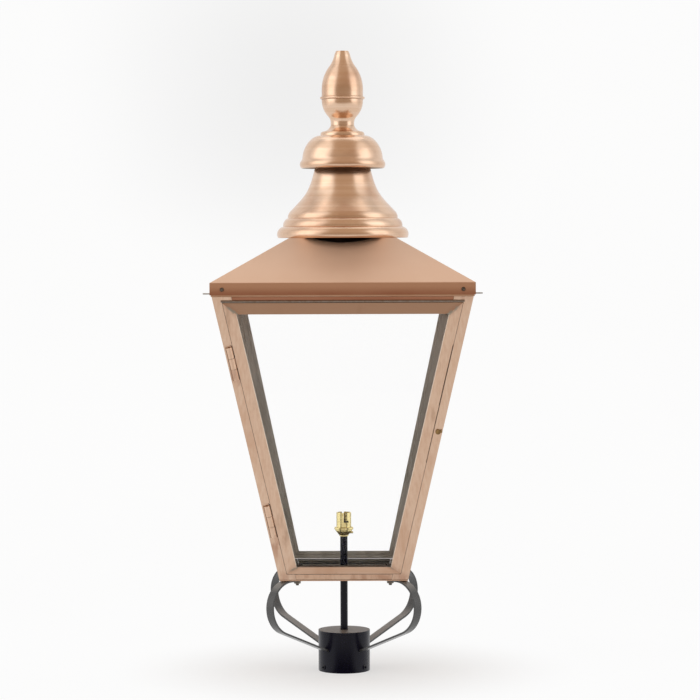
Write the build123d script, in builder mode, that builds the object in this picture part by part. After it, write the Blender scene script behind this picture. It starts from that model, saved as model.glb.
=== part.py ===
from build123d import *
import os
from math import atan, cos, degrees, hypot, radians, sin, tan

os.makedirs("parts", exist_ok=True)

# Post top lantern: a glazed, tapered square body on four bent straps above a post socket, with a
# hinged front door, a hipped roof and a stack of spun pieces on top.
# Millimetres, +Z up. The origin is the centre of the socket's open lower end. The door faces -Y.

# ---------------------------------------------------------------- shared fits and sheet sizes
seat_gap = 0.3  # between two pieces that are soldered, screwed or stood on each other
running_gap = 0.08  # round a pin, spindle or plunger that turns or slides
sheet = 2.0  # folded copper of posts, rails and top frame
roof_sheet = 1.5
spun_wall = 1.5  # hood, dome and finial

# ---------------------------------------------------------------- post socket and stem
socket_bore = 79.0
socket_wall = 4.95
socket_height = 70.0
socket_cap_thickness = 4.0
set_screw_spread = 52.0  # degrees from the front to each of the two front screws
set_screw_diameter = 8.0
set_screw_height = 8.0  # axis above the socket's open end
set_screw_stand_out = 1.5
set_screw_key = 4.0  # across the flats of the key hole
set_screw_key_depth = 2.5
stem_diameter = 12.7
stem_bore = 10.0
stem_nut_width = 19.0
stem_nut_thickness = 4.0

# ---------------------------------------------------------------- bent straps
strap_width = 16.0
strap_thickness = 3.2
strap_flat_start = 99.0  # distance of the flat end from the axis, along the diagonal
strap_flat_end = 132.4
strap_upper_radius = 43.0
strap_lower_radius = 48.0
strap_rise_angle = 22.0  # of the straight run above level
strap_bolt_offset = 79.0  # each bolt lies this far from the axis in x and in y
strap_bolt_diameter = 5.8
strap_bolt_clearance = 0.3
strap_nut_width = 10.0
strap_nut_thickness = 4.0
strap_bolt_tail = 3.0  # thread that shows under the nut

# ---------------------------------------------------------------- tapered body
body_bottom_height = 168.0
body_rise = 482.0
body_bottom_half = 108.3
body_top_half = 215.0
base_plate_thickness = 2.0
bottom_rail_height = 9.2
bottom_rail_lip = 15.0
head_rail_height = 9.0
head_rail_lip = 7.5
post_face = 14.5  # width of a corner post on each side it shows
post_foot = 28.0  # width of the post's foot
post_head = 32.0  # width of the post's head
post_lip = 6.0  # inner lip that the glazed frames rest against
frame_face = 19.5  # from the post's edge to the glass
frame_depth = 8.0
frame_front = 2.5  # copper in front of the glass
bottom_sight = 12.5  # height of the glazed frame's bottom rail
top_sight = 19.5
glass_lap = 6.0  # how far the glass reaches behind the frame
glass_thickness = 3.0
glass_edge_gap = 0.5
door_gap = 0.5  # below the door and at its sides
door_top_gap = 1.0
drip_height = 3.0
drip_stand_out = 2.5
drip_side_lap = 1.5  # how far the strip reaches past the door opening onto the posts

# ---------------------------------------------------------------- door hinges
hinge_upper_height = 539.0  # middle of each hinge
hinge_lower_height = 271.0
hinge_length = 56.6
hinge_inset = 8.4  # axis in from the body's left corner
hinge_depth = 1.5  # axis behind the face
hinge_barrel = 10.8
hinge_pin_diameter = 4.0
hinge_leaf = 1.5
hinge_slot_gap = 0.4
hinge_middle = 18.4  # length of the door's knuckle
hinge_tab_reach = 9.0  # tab beyond the slot's arch
hinge_mortise = 8.0  # how deep the door's leaf sits in the stile

# ---------------------------------------------------------------- door latch
latch_height = 424.0
latch_inset = 7.5  # spindle in from the body's right corner
latch_spindle = 4.8
latch_boss = 8.6
latch_thumb = 6.8  # reach of the thumb piece from the spindle
latch_thumb_width = 5.0
latch_plate = 2.3
latch_tilt = 12.0  # lean of the thumb piece at rest
tongue_reach = 11.8
tongue_width = 5.0
tongue_thickness = 2.0
tongue_depth = 4.5  # front of the tongue behind the face
finger_slit = 1.0  # relief along the door's closing edge
finger_slit_low = 372.0
finger_slit_high = 535.0

# ---------------------------------------------------------------- roof
roof_overhang = 3.2  # of the skirt's face beyond the top of the body
eaves_rise = 23.0  # from the top of the body to the upper edge of the skirt
skirt_height = 20.0
deck_rise = 73.5  # from the skirt's upper edge to the flat deck
deck_margin = 30.4  # deck beyond the vent hole
vent_hole_diameter = 120.0
top_frame_flange = 16.0
roof_screw_inset = 20.2  # each skirt screw in from the corner
roof_screw_drop = 11.0  # below the skirt's upper edge
roof_screw_diameter = 3.4
roof_screw_head = 7.0
roof_pin_diameter = 2.4
roof_pin_rise = 1.8  # axis above the skirt's lower edge
roof_pin_stand_out = 12.5
roof_pin_depth = 14.0  # length inside the skirt
roof_pin_setback = 28.0  # from the front of the skirt
vent_bar_width = 24.0
vent_bar_thickness = 3.0
vent_bar_lap = 16.0
vent_screw_diameter = 4.0
vent_screw_head = 8.0
vent_screw_head_height = 2.2

# ---------------------------------------------------------------- stack on the roof
tie_rod_diameter = 8.0
tie_nut_width = 13.0
tie_nut_thickness = 5.0
tie_hole_gap = 0.4
hood_rim_radius = 111.3
hood_height = 119.5
hood_neck_radius = 47.6
dome_rim_radius = 70.9
dome_height = 55.4
dome_crown = 5.0  # copper over the dome's inner ceiling
collar_radius = 37.8
collar_height = 16.7
finial_waist_radius = 20.2
finial_lower_height = 44.8
finial_radius = 35.5
finial_ring_radius = 38.5
finial_ring_height = 4.7
finial_upper_height = 77.7
finial_tip_radius = 10.8

# ---------------------------------------------------------------- bayonet lampholder
holder_bottom = 232.5
holder_cone_height = 10.7
holder_cone_radius = 14.3
holder_neck_radius = 7.9
holder_ring_radius = 16.35
holder_ring_height = 4.5
holder_barrel_bore = 22.4
holder_barrel_wall = 1.5
holder_barrel_step = 0.7  # narrower below, round the insulator
holder_top = 273.4
holder_stem_overlap = 8.5
slot_turn = 8.0  # degrees from the front to the middle of a J slot
slot_width = 3.6
slot_depth = 17.0
slot_hook = 5.0
slot_hook_width = 3.4
insulator_gap = 0.2
insulator_floor = 8.5
insulator_rim = 12.8  # whole height of the cup
insulator_rim_wall = 1.4
plunger_diameter = 4.0
plunger_spacing = 8.0
plunger_length = 9.5
plunger_travel = 3.0
grip_screw_diameter = 3.6
grip_screw_height = 6.1  # axis above the holder's lower end
grip_screw_reach = 16.0

# ---------------------------------------------------------------- sizes worked out from the above
slope = (body_top_half - body_bottom_half) / body_rise
lean = atan(slope)  # of each side, outwards
edge_slope = slope * cos(lean)  # of a side's own edges, within its plane
edge_angle = atan(edge_slope)
body_top_height = body_bottom_height + body_rise
base_top = body_bottom_height + base_plate_thickness
post_bottom = base_top + seat_gap
bottom_rail_top = post_bottom + bottom_rail_height
head_rail_bottom = body_top_height - head_rail_height
sight_inset = post_face + frame_face
hinge_heights = (hinge_upper_height, hinge_lower_height)
eaves_half = body_top_half + roof_overhang
eaves_height = body_top_height + eaves_rise
deck_height = eaves_height + deck_rise
deck_half = vent_hole_diameter / 2 + deck_margin
roof_pitch = deck_rise / (eaves_half - deck_half)  # rise over run
roof_screw_offset = eaves_half - roof_screw_inset
roof_screw_height = eaves_height - roof_screw_drop
socket_outer = socket_bore / 2 + socket_wall
corner_names = ["front_left", "front_right", "rear_right", "rear_left"]
side_names = ["front", "right", "back", "left"]


def body_half(height):
    """Half the body's width, outside, at a height above the origin."""
    return body_bottom_half + slope * (height - body_bottom_height)


def along_face(height):
    """Distance up the sloping face that reaches this height."""
    return (height - body_bottom_height) / cos(lean)


def face_half(up):
    """Half the width of a side, this far up its face."""
    return body_bottom_half + edge_slope * up


def side_plane(side, level=0.0):
    """Outer face of one side: x along it, y up the slope, z outwards."""
    turn = radians(90 * side)
    out_x, out_y = sin(turn), -cos(turn)
    foot = (out_x * body_bottom_half, out_y * body_bottom_half, body_bottom_height)
    outwards = (out_x * cos(lean), out_y * cos(lean), -sin(lean))
    return Plane(foot, x_dir=(cos(turn), sin(turn), 0), z_dir=outwards).offset(level)


def level_plane(height, corner=0):
    """Level plane turned so that the named corner lies at -x, -y."""
    turn = radians(90 * corner)
    return Plane((0, 0, height), x_dir=(cos(turn), sin(turn), 0), z_dir=(0, 0, 1))


def upright_plane(angle):
    """Upright plane through the axis: x away from the axis at this angle, y up."""
    turn = radians(angle)
    return Plane((0, 0, 0), x_dir=(cos(turn), sin(turn), 0), z_dir=(sin(turn), -cos(turn), 0))


def save(piece, name):
    """Name a finished piece and write it."""
    piece.part.label = name
    export_step(piece.part, f"parts/{name}.step")


def tapered_outline(low, high, inset, mode=Mode.ADD):
    """Outline on a side's face between two heights up it, its edges this far inside the corners."""
    bottom = face_half(low) - inset
    top = face_half(high) - inset
    Polygon((-bottom, low), (bottom, low), (top, high), (-top, high), align=None, mode=mode)


# ================================================================ post socket
sleeve_height = socket_height - socket_cap_thickness - seat_gap
set_screw_angles = (-90 - set_screw_spread, -90 + set_screw_spread, 90)

with BuildPart() as socket_sleeve:
    with BuildSketch(Plane.XY):
        Circle(socket_outer)
        Circle(socket_bore / 2, mode=Mode.SUBTRACT)
    extrude(amount=sleeve_height)
    for angle in set_screw_angles:
        with BuildSketch(upright_plane(angle + 90)):
            with Locations((0, set_screw_height)):
                Circle(set_screw_diameter / 2 + running_gap)
        extrude(amount=socket_outer + 1, mode=Mode.SUBTRACT)
save(socket_sleeve, "socket_sleeve")

with BuildPart() as socket_cap:
    with BuildSketch(Plane.XY.offset(sleeve_height + seat_gap)):
        Circle(socket_outer)
        Circle(stem_diameter / 2 + seat_gap, mode=Mode.SUBTRACT)
    extrude(amount=socket_cap_thickness)
save(socket_cap, "socket_cap")

for number, angle in enumerate(set_screw_angles, start=1):
    with BuildPart() as set_screw:
        with BuildSketch(upright_plane(angle + 90).offset(socket_bore / 2)):
            with Locations((0, set_screw_height)):
                Circle(set_screw_diameter / 2)
        extrude(amount=socket_wall + set_screw_stand_out)
        with BuildSketch(upright_plane(angle + 90).offset(socket_outer + set_screw_stand_out)):
            with Locations((0, set_screw_height)):
                RegularPolygon(set_screw_key / 2, 6, major_radius=False)
        extrude(amount=-set_screw_key_depth, mode=Mode.SUBTRACT)
    save(set_screw, f"set_screw_{number}")

# ================================================================ stem tube
stem_bottom = sleeve_height + seat_gap
stem_top = holder_bottom + holder_stem_overlap

with BuildPart() as stem_tube:
    with BuildSketch(Plane.XY.offset(stem_bottom)):
        Circle(stem_diameter / 2)
        Circle(stem_bore / 2, mode=Mode.SUBTRACT)
    extrude(amount=stem_top - stem_bottom)
save(stem_tube, "stem_tube")

with BuildPart() as stem_locknuts:
    for nut_bottom in (body_bottom_height - seat_gap - stem_nut_thickness, base_top + seat_gap):
        with BuildSketch(Plane.XY.offset(nut_bottom)):
            RegularPolygon(stem_nut_width / 2, 6, major_radius=False)
            Circle(stem_diameter / 2 + running_gap, mode=Mode.SUBTRACT)
        extrude(amount=stem_nut_thickness)
save(stem_locknuts, "stem_locknuts")

# ================================================================ bent straps and their bolts
strap_middle = body_bottom_height - seat_gap - strap_thickness / 2
strap_straight = (strap_flat_end + strap_upper_radius) - strap_lower_radius
strap_straight += strap_lower_radius * sin(radians(strap_rise_angle)) - socket_bore / 2
bolt_hole = strap_bolt_diameter / 2 + strap_bolt_clearance

for corner, corner_name in enumerate(corner_names):
    outward_angle = 225 + 90 * corner
    with BuildPart() as strap:
        with BuildSketch(upright_plane(outward_angle)):
            with BuildLine():
                flat = Line((strap_flat_start, strap_middle), (strap_flat_end, strap_middle))
                upper = JernArc(flat @ 1, flat % 1, strap_upper_radius, -90)
                lower = JernArc(upper @ 1, upper % 1, strap_lower_radius, strap_rise_angle - 90)
                reach = strap_straight / cos(radians(strap_rise_angle))
                PolarLine(lower @ 1, reach, direction=lower % 1)
            trace(line_width=strap_thickness)
        extrude(amount=strap_width / 2, both=True)
        with BuildSketch(Plane.XY):
            Circle(socket_outer + seat_gap)
        extrude(amount=socket_height, mode=Mode.SUBTRACT)
        with BuildSketch(level_plane(body_bottom_height, corner)):
            with Locations((-strap_bolt_offset, -strap_bolt_offset)):
                Circle(bolt_hole)
        extrude(amount=-strap_thickness * 2, mode=Mode.SUBTRACT)
    save(strap, f"strap_{corner_name}")

nut_top = body_bottom_height - strap_thickness - 2 * seat_gap
bolt_bottom = nut_top - strap_nut_thickness - strap_bolt_tail
bolt_grid = GridLocations(2 * strap_bolt_offset, 2 * strap_bolt_offset, 2, 2)

with BuildPart() as strap_bolts:
    with BuildSketch(Plane.XY.offset(base_top + seat_gap)):
        with bolt_grid:
            RegularPolygon(strap_nut_width / 2, 6, major_radius=False)
    extrude(amount=strap_nut_thickness)
    with BuildSketch(Plane.XY.offset(bolt_bottom)):
        with bolt_grid:
            Circle(strap_bolt_diameter / 2)
    extrude(amount=base_top + seat_gap - bolt_bottom)
save(strap_bolts, "strap_bolts")

with BuildPart() as strap_nuts:
    with BuildSketch(Plane.XY.offset(nut_top)):
        with bolt_grid:
            RegularPolygon(strap_nut_width / 2, 6, major_radius=False)
            Circle(strap_bolt_diameter / 2 + running_gap, mode=Mode.SUBTRACT)
    extrude(amount=-strap_nut_thickness)
save(strap_nuts, "strap_nuts")

# ================================================================ base plate
with BuildPart() as base_plate:
    with BuildSketch(Plane.XY.offset(body_bottom_height)):
        Rectangle(2 * body_bottom_half, 2 * body_bottom_half)
    with BuildSketch(Plane.XY.offset(base_top)):
        Rectangle(2 * body_half(base_top), 2 * body_half(base_top))
    loft(ruled=True)
    with BuildSketch(Plane.XY.offset(body_bottom_height)):
        Circle(stem_diameter / 2 + seat_gap)
        with bolt_grid:
            Circle(bolt_hole)
    extrude(amount=base_plate_thickness, mode=Mode.SUBTRACT)
save(base_plate, "base_plate")

# ================================================================ corner posts
level_sheet = sheet / cos(lean)  # the sheet's thickness, cut level
lip_front = (frame_depth + seat_gap) / cos(lean)
lip_back = lip_front + level_sheet
fold = post_face - sheet
front = side_plane(0)
hinge_up = front.x_dir * -sin(edge_angle) + front.y_dir * cos(edge_angle)
hinge_across = front.x_dir * cos(edge_angle) + front.y_dir * sin(edge_angle)
latch_up = along_face(latch_height)
latch_centre = front.from_local_coords((face_half(latch_up) - latch_inset, latch_up, 0))
latch_plane = Plane(latch_centre, x_dir=front.x_dir, z_dir=front.z_dir)


def folded_outline(leg, inner_corner):
    """Outline from the corner along one leg, round the inner corner and back along the other."""
    return leg + [inner_corner] + [(y, x) for x, y in reversed(leg[1:])]


def hinge_plane(level):
    """Across a hinge's axis at its middle: x to the door, y into the lantern, z up the axis."""
    up = along_face(level)
    middle = front.from_local_coords((hinge_inset - face_half(up), up, -hinge_depth))
    return Plane(middle, x_dir=hinge_across, z_dir=hinge_up)


inner_corner = (level_sheet, level_sheet)
post_leg = [
    (0, 0), (post_face, 0), (post_face, lip_front), (post_face + post_lip, lip_front),
    (post_face + post_lip, lip_back), (fold, lip_back), (fold, level_sheet),
]
post_outline = folded_outline(post_leg, inner_corner)
foot_outline = folded_outline([(0, 0), (post_foot, 0), (post_foot, level_sheet)], inner_corner)
head_outline = folded_outline([(0, 0), (post_head, 0), (post_head, level_sheet)], inner_corner)
head_bottom = head_rail_bottom + sheet * sin(lean)

slot_half = hinge_barrel / 2 + hinge_slot_gap
slot_back = hinge_barrel / 2 + hinge_slot_gap
stile_edge = (post_face + door_gap - hinge_inset) * cos(edge_angle)

for corner, corner_name in enumerate(corner_names):
    start = level_plane(post_bottom, corner)
    corner_point = (-body_half(post_bottom), -body_half(post_bottom))
    up_edge = start.x_dir * -slope + start.y_dir * -slope + start.z_dir
    with BuildPart() as corner_post:
        with BuildSketch(start):
            with Locations(corner_point):
                Polygon(*post_outline, align=None)
        extrude(amount=(body_top_height - post_bottom) * up_edge.length, dir=up_edge)
        with BuildSketch(start):
            with Locations(corner_point):
                Polygon(*foot_outline, align=None)
        extrude(amount=bottom_rail_height * up_edge.length, dir=up_edge)
        with BuildSketch(level_plane(head_bottom, corner)):
            with Locations((-body_half(head_bottom), -body_half(head_bottom))):
                Polygon(*head_outline, align=None)
        extrude(amount=(body_top_height - head_bottom) * up_edge.length, dir=up_edge)
        if corner_name == "front_left":
            for level in hinge_heights:
                axis_plane = hinge_plane(level)
                face_view = Plane(axis_plane.origin, x_dir=hinge_across, z_dir=front.z_dir)
                with BuildSketch(face_view.offset(-slot_back)):
                    Rectangle(2 * slot_half, hinge_length + 2 * seat_gap)
                    with Locations((0, hinge_length / 2 + seat_gap)):
                        Circle(slot_half)
                extrude(amount=2 * slot_back, mode=Mode.SUBTRACT)
                with BuildSketch(face_view.offset(-slot_back)):
                    Rectangle(stile_edge, hinge_length + 2 * seat_gap, align=(Align.MIN, Align.CENTER))
                extrude(amount=2 * slot_back, mode=Mode.SUBTRACT)
        if corner_name == "front_right":
            with BuildSketch(latch_plane):
                Circle(latch_spindle / 2 + running_gap)
            extrude(amount=-2 * sheet, mode=Mode.SUBTRACT)
            window_low = tongue_width / 2 + seat_gap
            window_high = tongue_reach + seat_gap
            with BuildSketch(latch_plane.offset(-tongue_depth + seat_gap)):
                with Locations((-tongue_reach, -window_low)):
                    Rectangle(tongue_reach, window_low + window_high, align=(Align.MIN, Align.MIN))
            extrude(amount=-tongue_thickness - 2 * seat_gap, mode=Mode.SUBTRACT)
    save(corner_post, f"corner_post_{corner_name}")

# ================================================================ rails between the posts
bottom_rail_section = [
    (body_half(post_bottom), post_bottom),
    (body_half(bottom_rail_top), bottom_rail_top),
    (body_half(bottom_rail_top) - bottom_rail_lip, bottom_rail_top),
    (body_half(bottom_rail_top) - bottom_rail_lip, bottom_rail_top - sheet),
    (body_half(bottom_rail_top - sheet) - level_sheet, bottom_rail_top - sheet),
    (body_half(post_bottom + sheet) - level_sheet, post_bottom + sheet),
    (body_half(post_bottom) - bottom_rail_lip, post_bottom + sheet),
    (body_half(post_bottom) - bottom_rail_lip, post_bottom),
]
head_rail_section = [
    (body_half(head_rail_bottom), head_rail_bottom),
    (body_half(body_top_height), body_top_height),
    (body_half(body_top_height) - head_rail_lip, body_top_height),
    (body_half(body_top_height) - head_rail_lip, body_top_height - sheet),
    (body_half(body_top_height - sheet) - level_sheet, body_top_height - sheet),
    (body_half(head_rail_bottom) - sheet * cos(lean), head_rail_bottom + sheet * sin(lean)),
]
rail_trim = 2 * bottom_rail_lip  # more than any rail reaches behind or in front of the face

for rail_name, section, end_inset in (
    ("bottom_rails", bottom_rail_section, post_foot + seat_gap),
    ("head_rails", head_rail_section, post_head + seat_gap),
):
    low = along_face(section[0][1]) - rail_trim / 2
    high = along_face(section[1][1]) + rail_trim / 2
    with BuildPart() as rails:
        for side in range(4):
            with BuildPart(mode=Mode.PRIVATE) as rail:
                with BuildSketch(upright_plane(90 * side - 90)):
                    Polygon(*section, align=None)
                extrude(amount=body_top_half, both=True)
                with BuildSketch(side_plane(side, rail_trim / 2)):
                    tapered_outline(low, high, end_inset)
                extrude(amount=-2 * rail_trim, mode=Mode.INTERSECT)
            add(rail.part)
    save(rails, rail_name)

# ================================================================ glazed frames, glass and beads
frame_low = along_face(bottom_rail_top)
frame_high = along_face(head_rail_bottom)
sight_low = frame_low + bottom_sight + door_gap
sight_high = frame_high - top_sight - door_top_gap
pocket_back = glass_thickness + 2 * seat_gap


def glazed_frame(side, gap, top_gap):
    """Frame of one side with a rebate behind it for the glass, clear of posts and rails."""
    with BuildPart() as frame:
        with BuildSketch(side_plane(side)):
            tapered_outline(frame_low + gap, frame_high - top_gap, post_face + gap)
            tapered_outline(sight_low, sight_high, sight_inset, mode=Mode.SUBTRACT)
        extrude(amount=-frame_depth)
        with BuildSketch(side_plane(side, -frame_front)):
            tapered_outline(sight_low - glass_lap, sight_high + glass_lap, sight_inset - glass_lap)
        extrude(amount=-frame_depth, mode=Mode.SUBTRACT)
    return frame


def glass_pane(side):
    """Pane that lies in the rebate of one side."""
    lap = glass_lap - glass_edge_gap
    with BuildPart() as pane:
        with BuildSketch(side_plane(side, -frame_front - seat_gap)):
            tapered_outline(sight_low - lap, sight_high + lap, sight_inset - lap)
        extrude(amount=-glass_thickness)
    return pane


def glazing_bead(side):
    """Bead that closes the rebate behind the glass of one side."""
    lap = glass_lap - seat_gap
    with BuildPart() as bead:
        with BuildSketch(side_plane(side, -frame_front - pocket_back)):
            tapered_outline(sight_low - lap, sight_high + lap, sight_inset - lap)
            tapered_outline(sight_low, sight_high, sight_inset, mode=Mode.SUBTRACT)
        extrude(amount=-(frame_depth - frame_front - pocket_back))
    return bead


for side, side_name in enumerate(side_names):
    if side_name != "front":
        save(glazed_frame(side, seat_gap, seat_gap), f"frame_{side_name}")
        save(glass_pane(side), f"glass_{side_name}")
        save(glazing_bead(side), f"bead_{side_name}")
save(glass_pane(0), "door_glass")
save(glazing_bead(0), "door_bead")

leaf_front = frame_depth / 2 - hinge_depth  # front of the door's leaf behind the hinge's axis
with BuildPart() as door_frame:
    add(glazed_frame(0, door_gap, door_top_gap).part)
    for level in hinge_heights:
        face_view = Plane(hinge_plane(level).origin, x_dir=hinge_across, z_dir=front.z_dir)
        with BuildSketch(face_view.offset(-leaf_front + seat_gap)):
            Rectangle(stile_edge + hinge_mortise + seat_gap, hinge_middle + 2 * seat_gap,
                      align=(Align.MIN, Align.CENTER))
        extrude(amount=-hinge_leaf - 2 * seat_gap, mode=Mode.SUBTRACT)
    with BuildSketch(latch_plane.offset(-tongue_depth + seat_gap)):
        with Locations((-tongue_reach - seat_gap, -window_low)):
            Rectangle(tongue_reach, window_low + window_high, align=(Align.MIN, Align.MIN))
    extrude(amount=-tongue_thickness - 2 * seat_gap, mode=Mode.SUBTRACT)
    with BuildSketch(front):
        slit_low, slit_high = along_face(finger_slit_low), along_face(finger_slit_high)
        edge_low = face_half(slit_low) - post_face - door_gap
        edge_high = face_half(slit_high) - post_face - door_gap
        Polygon((edge_low - finger_slit, slit_low), (edge_low, slit_low),
                (edge_high, slit_high), (edge_high - finger_slit, slit_high), align=None)
    extrude(amount=-frame_front, mode=Mode.SUBTRACT)
save(door_frame, "door_frame")

# ================================================================ strip over the door
drip_bottom = frame_high + seat_gap
drip_half = face_half(drip_bottom) - post_face + drip_side_lap
with BuildPart() as drip_strip:
    with BuildSketch(side_plane(0, seat_gap)):
        with Locations((0, drip_bottom)):
            Rectangle(2 * drip_half, drip_height, align=(Align.CENTER, Align.MIN))
    extrude(amount=drip_stand_out)
    outer_edge = drip_strip.edges().filter_by(Axis.X).sort_by(Axis.Y)[0]
    chamfer(outer_edge, drip_height / 3)
save(drip_strip, "drip_strip")

# ================================================================ hinges
pin_half = hinge_pin_diameter / 2
knuckle_end = hinge_length / 2
knuckle_start = hinge_middle / 2 + seat_gap
tab_front = sheet + seat_gap - hinge_depth  # tab behind the post's leg, from the hinge's axis
tab_left = (hinge_inset - level_sheet - seat_gap) * cos(edge_angle)
tab_right = (fold - hinge_inset - seat_gap) * cos(edge_angle)
tab_end = knuckle_end + slot_half + hinge_tab_reach

with BuildPart() as hinge_post_leaves:
    for level in hinge_heights:
        axis_plane = hinge_plane(level)
        for turned in (1, -1):
            base = axis_plane.offset(turned * knuckle_start)
            with BuildSketch(base):
                Circle(hinge_barrel / 2)
            extrude(amount=turned * (knuckle_end - knuckle_start))
            with BuildSketch(base):
                with Locations((-tab_left, tab_front)):
                    Rectangle(tab_left + tab_right, hinge_leaf, align=(Align.MIN, Align.MIN))
            extrude(amount=turned * (tab_end - knuckle_start))
        with BuildSketch(axis_plane):
            Circle(pin_half + running_gap)
        extrude(amount=knuckle_end, both=True, mode=Mode.SUBTRACT)
save(hinge_post_leaves, "hinge_post_leaves")

with BuildPart() as hinge_pins:
    for level in hinge_heights:
        with BuildSketch(hinge_plane(level)):
            Circle(pin_half)
        extrude(amount=knuckle_end, both=True)
save(hinge_pins, "hinge_pins")

with BuildPart() as hinge_door_leaves:
    for level in hinge_heights:
        with BuildSketch(hinge_plane(level)):
            Circle(hinge_barrel / 2)
            with Locations((0, leaf_front)):
                Rectangle(stile_edge + hinge_mortise, hinge_leaf, align=(Align.MIN, Align.MIN))
            Circle(pin_half + running_gap, mode=Mode.SUBTRACT)
        extrude(amount=hinge_middle / 2, both=True)
save(hinge_door_leaves, "hinge_door_leaves")

# ================================================================ latch
with BuildPart() as latch_lever:
    with BuildSketch(latch_plane.offset(seat_gap)):
        Circle(latch_boss / 2)
        with Locations(Location((0, 0), latch_tilt)):
            Rectangle(latch_thumb, latch_thumb_width, align=(Align.MIN, Align.CENTER))
    extrude(amount=latch_plate)
    with BuildSketch(latch_plane.offset(latch_plate + seat_gap)):
        Circle(latch_spindle / 2)
    extrude(amount=-(latch_plate + 2 * seat_gap + tongue_depth + tongue_thickness))
save(latch_lever, "latch_lever")

with BuildPart() as latch_tongue:
    with BuildSketch(latch_plane.offset(-tongue_depth)):
        Circle(latch_spindle / 2 + sheet)
        Rectangle(tongue_reach, tongue_width, align=(Align.MAX, Align.CENTER))
        Circle(latch_spindle / 2 + running_gap, mode=Mode.SUBTRACT)
    extrude(amount=-tongue_thickness)
save(latch_tongue, "latch_tongue")

# ================================================================ roof
roof_steep_sheet = roof_sheet * hypot(1, roof_pitch)  # the sheet's thickness, cut upright
skirt_inner = eaves_half - roof_sheet
skirt_bottom = eaves_height - skirt_height
top_frame_half = skirt_inner - seat_gap


def roof_top(half):
    """Height of the roof's outer face at this distance from the middle of a side."""
    return eaves_height + (eaves_half - half) * roof_pitch


deck_under = deck_height - roof_sheet
deck_under_half = eaves_half - (deck_under + roof_steep_sheet - eaves_height) / roof_pitch
roof_under_eaves = roof_top(skirt_inner) - roof_steep_sheet
front_and_back = (0, 2)

with BuildPart() as roof_shell:
    with BuildSketch(Plane.XY.offset(skirt_bottom)):
        Rectangle(2 * eaves_half, 2 * eaves_half)
    extrude(amount=skirt_height)
    with BuildSketch(Plane.XY.offset(eaves_height)):
        Rectangle(2 * eaves_half, 2 * eaves_half)
    with BuildSketch(Plane.XY.offset(deck_height)):
        Rectangle(2 * deck_half, 2 * deck_half)
    loft(ruled=True)
    with BuildSketch(Plane.XY.offset(skirt_bottom)):
        Rectangle(2 * skirt_inner, 2 * skirt_inner)
    extrude(amount=roof_under_eaves - skirt_bottom, mode=Mode.SUBTRACT)
    with BuildSketch(Plane.XY.offset(roof_under_eaves)):
        Rectangle(2 * skirt_inner, 2 * skirt_inner)
    with BuildSketch(Plane.XY.offset(deck_under)):
        Rectangle(2 * deck_under_half, 2 * deck_under_half)
    loft(ruled=True, mode=Mode.SUBTRACT)
    with BuildSketch(Plane.XY.offset(deck_under)):
        Circle(vent_hole_diameter / 2)
        with GridLocations(vent_hole_diameter + vent_bar_lap, 0, 2, 1):
            Circle(vent_screw_diameter / 2 + seat_gap)
    extrude(amount=roof_sheet, mode=Mode.SUBTRACT)
    for side in front_and_back:
        with BuildSketch(upright_plane(90 * side)):
            with Locations((-roof_screw_offset, roof_screw_height),
                           (roof_screw_offset, roof_screw_height)):
                Circle(roof_screw_diameter / 2 + seat_gap)
        extrude(amount=eaves_half, mode=Mode.SUBTRACT)
    with BuildSketch(Plane.YZ):
        with Locations((roof_pin_setback - eaves_half, skirt_bottom + roof_pin_rise)):
            Circle(roof_pin_diameter / 2 + running_gap)
    extrude(amount=eaves_half, both=True, mode=Mode.SUBTRACT)
save(roof_shell, "roof_shell")

top_frame_bottom = body_top_height + seat_gap
top_frame_top = roof_top(top_frame_half) - roof_steep_sheet - seat_gap
with BuildPart() as top_frame:
    with BuildSketch(Plane.XY.offset(top_frame_bottom)):
        Rectangle(2 * top_frame_half, 2 * top_frame_half)
        Rectangle(2 * (top_frame_half - sheet), 2 * (top_frame_half - sheet), mode=Mode.SUBTRACT)
    extrude(amount=top_frame_top - top_frame_bottom)
    with BuildSketch(Plane.XY.offset(top_frame_bottom)):
        flange_half = top_frame_half - top_frame_flange
        Rectangle(2 * top_frame_half, 2 * top_frame_half)
        Rectangle(2 * flange_half, 2 * flange_half, mode=Mode.SUBTRACT)
    extrude(amount=sheet)
    for side in front_and_back:
        with BuildSketch(upright_plane(90 * side)):
            with Locations((-roof_screw_offset, roof_screw_height),
                           (roof_screw_offset, roof_screw_height)):
                Circle(roof_screw_diameter / 2 + running_gap)
        extrude(amount=eaves_half, mode=Mode.SUBTRACT)
    with BuildSketch(Plane.YZ):
        with Locations((roof_pin_setback - eaves_half, skirt_bottom + roof_pin_rise)):
            Circle(roof_pin_diameter / 2 + running_gap)
    extrude(amount=eaves_half, both=True, mode=Mode.SUBTRACT)
save(top_frame, "top_frame")

with BuildPart() as roof_screws:
    for side in front_and_back:
        for place in (-roof_screw_offset, roof_screw_offset):
            with BuildSketch(upright_plane(90 * side).offset(eaves_half + seat_gap)):
                with Locations((place, roof_screw_height)):
                    Circle(roof_screw_head / 2)
            extrude(amount=roof_screw_head / 4, taper=25)
            with BuildSketch(upright_plane(90 * side).offset(eaves_half + seat_gap)):
                with Locations((place, roof_screw_height)):
                    Circle(roof_screw_diameter / 2)
            extrude(amount=-(2 * roof_sheet + 2 * sheet + 2 * seat_gap))
save(roof_screws, "roof_screws")

with BuildPart() as roof_pins:
    for outwards in (1, -1):
        with BuildSketch(Plane.YZ.offset(outwards * (eaves_half - roof_pin_depth))):
            with Locations((roof_pin_setback - eaves_half, skirt_bottom + roof_pin_rise)):
                Circle(roof_pin_diameter / 2)
        extrude(amount=outwards * (roof_pin_depth + roof_pin_stand_out))
save(roof_pins, "roof_pins")

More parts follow.
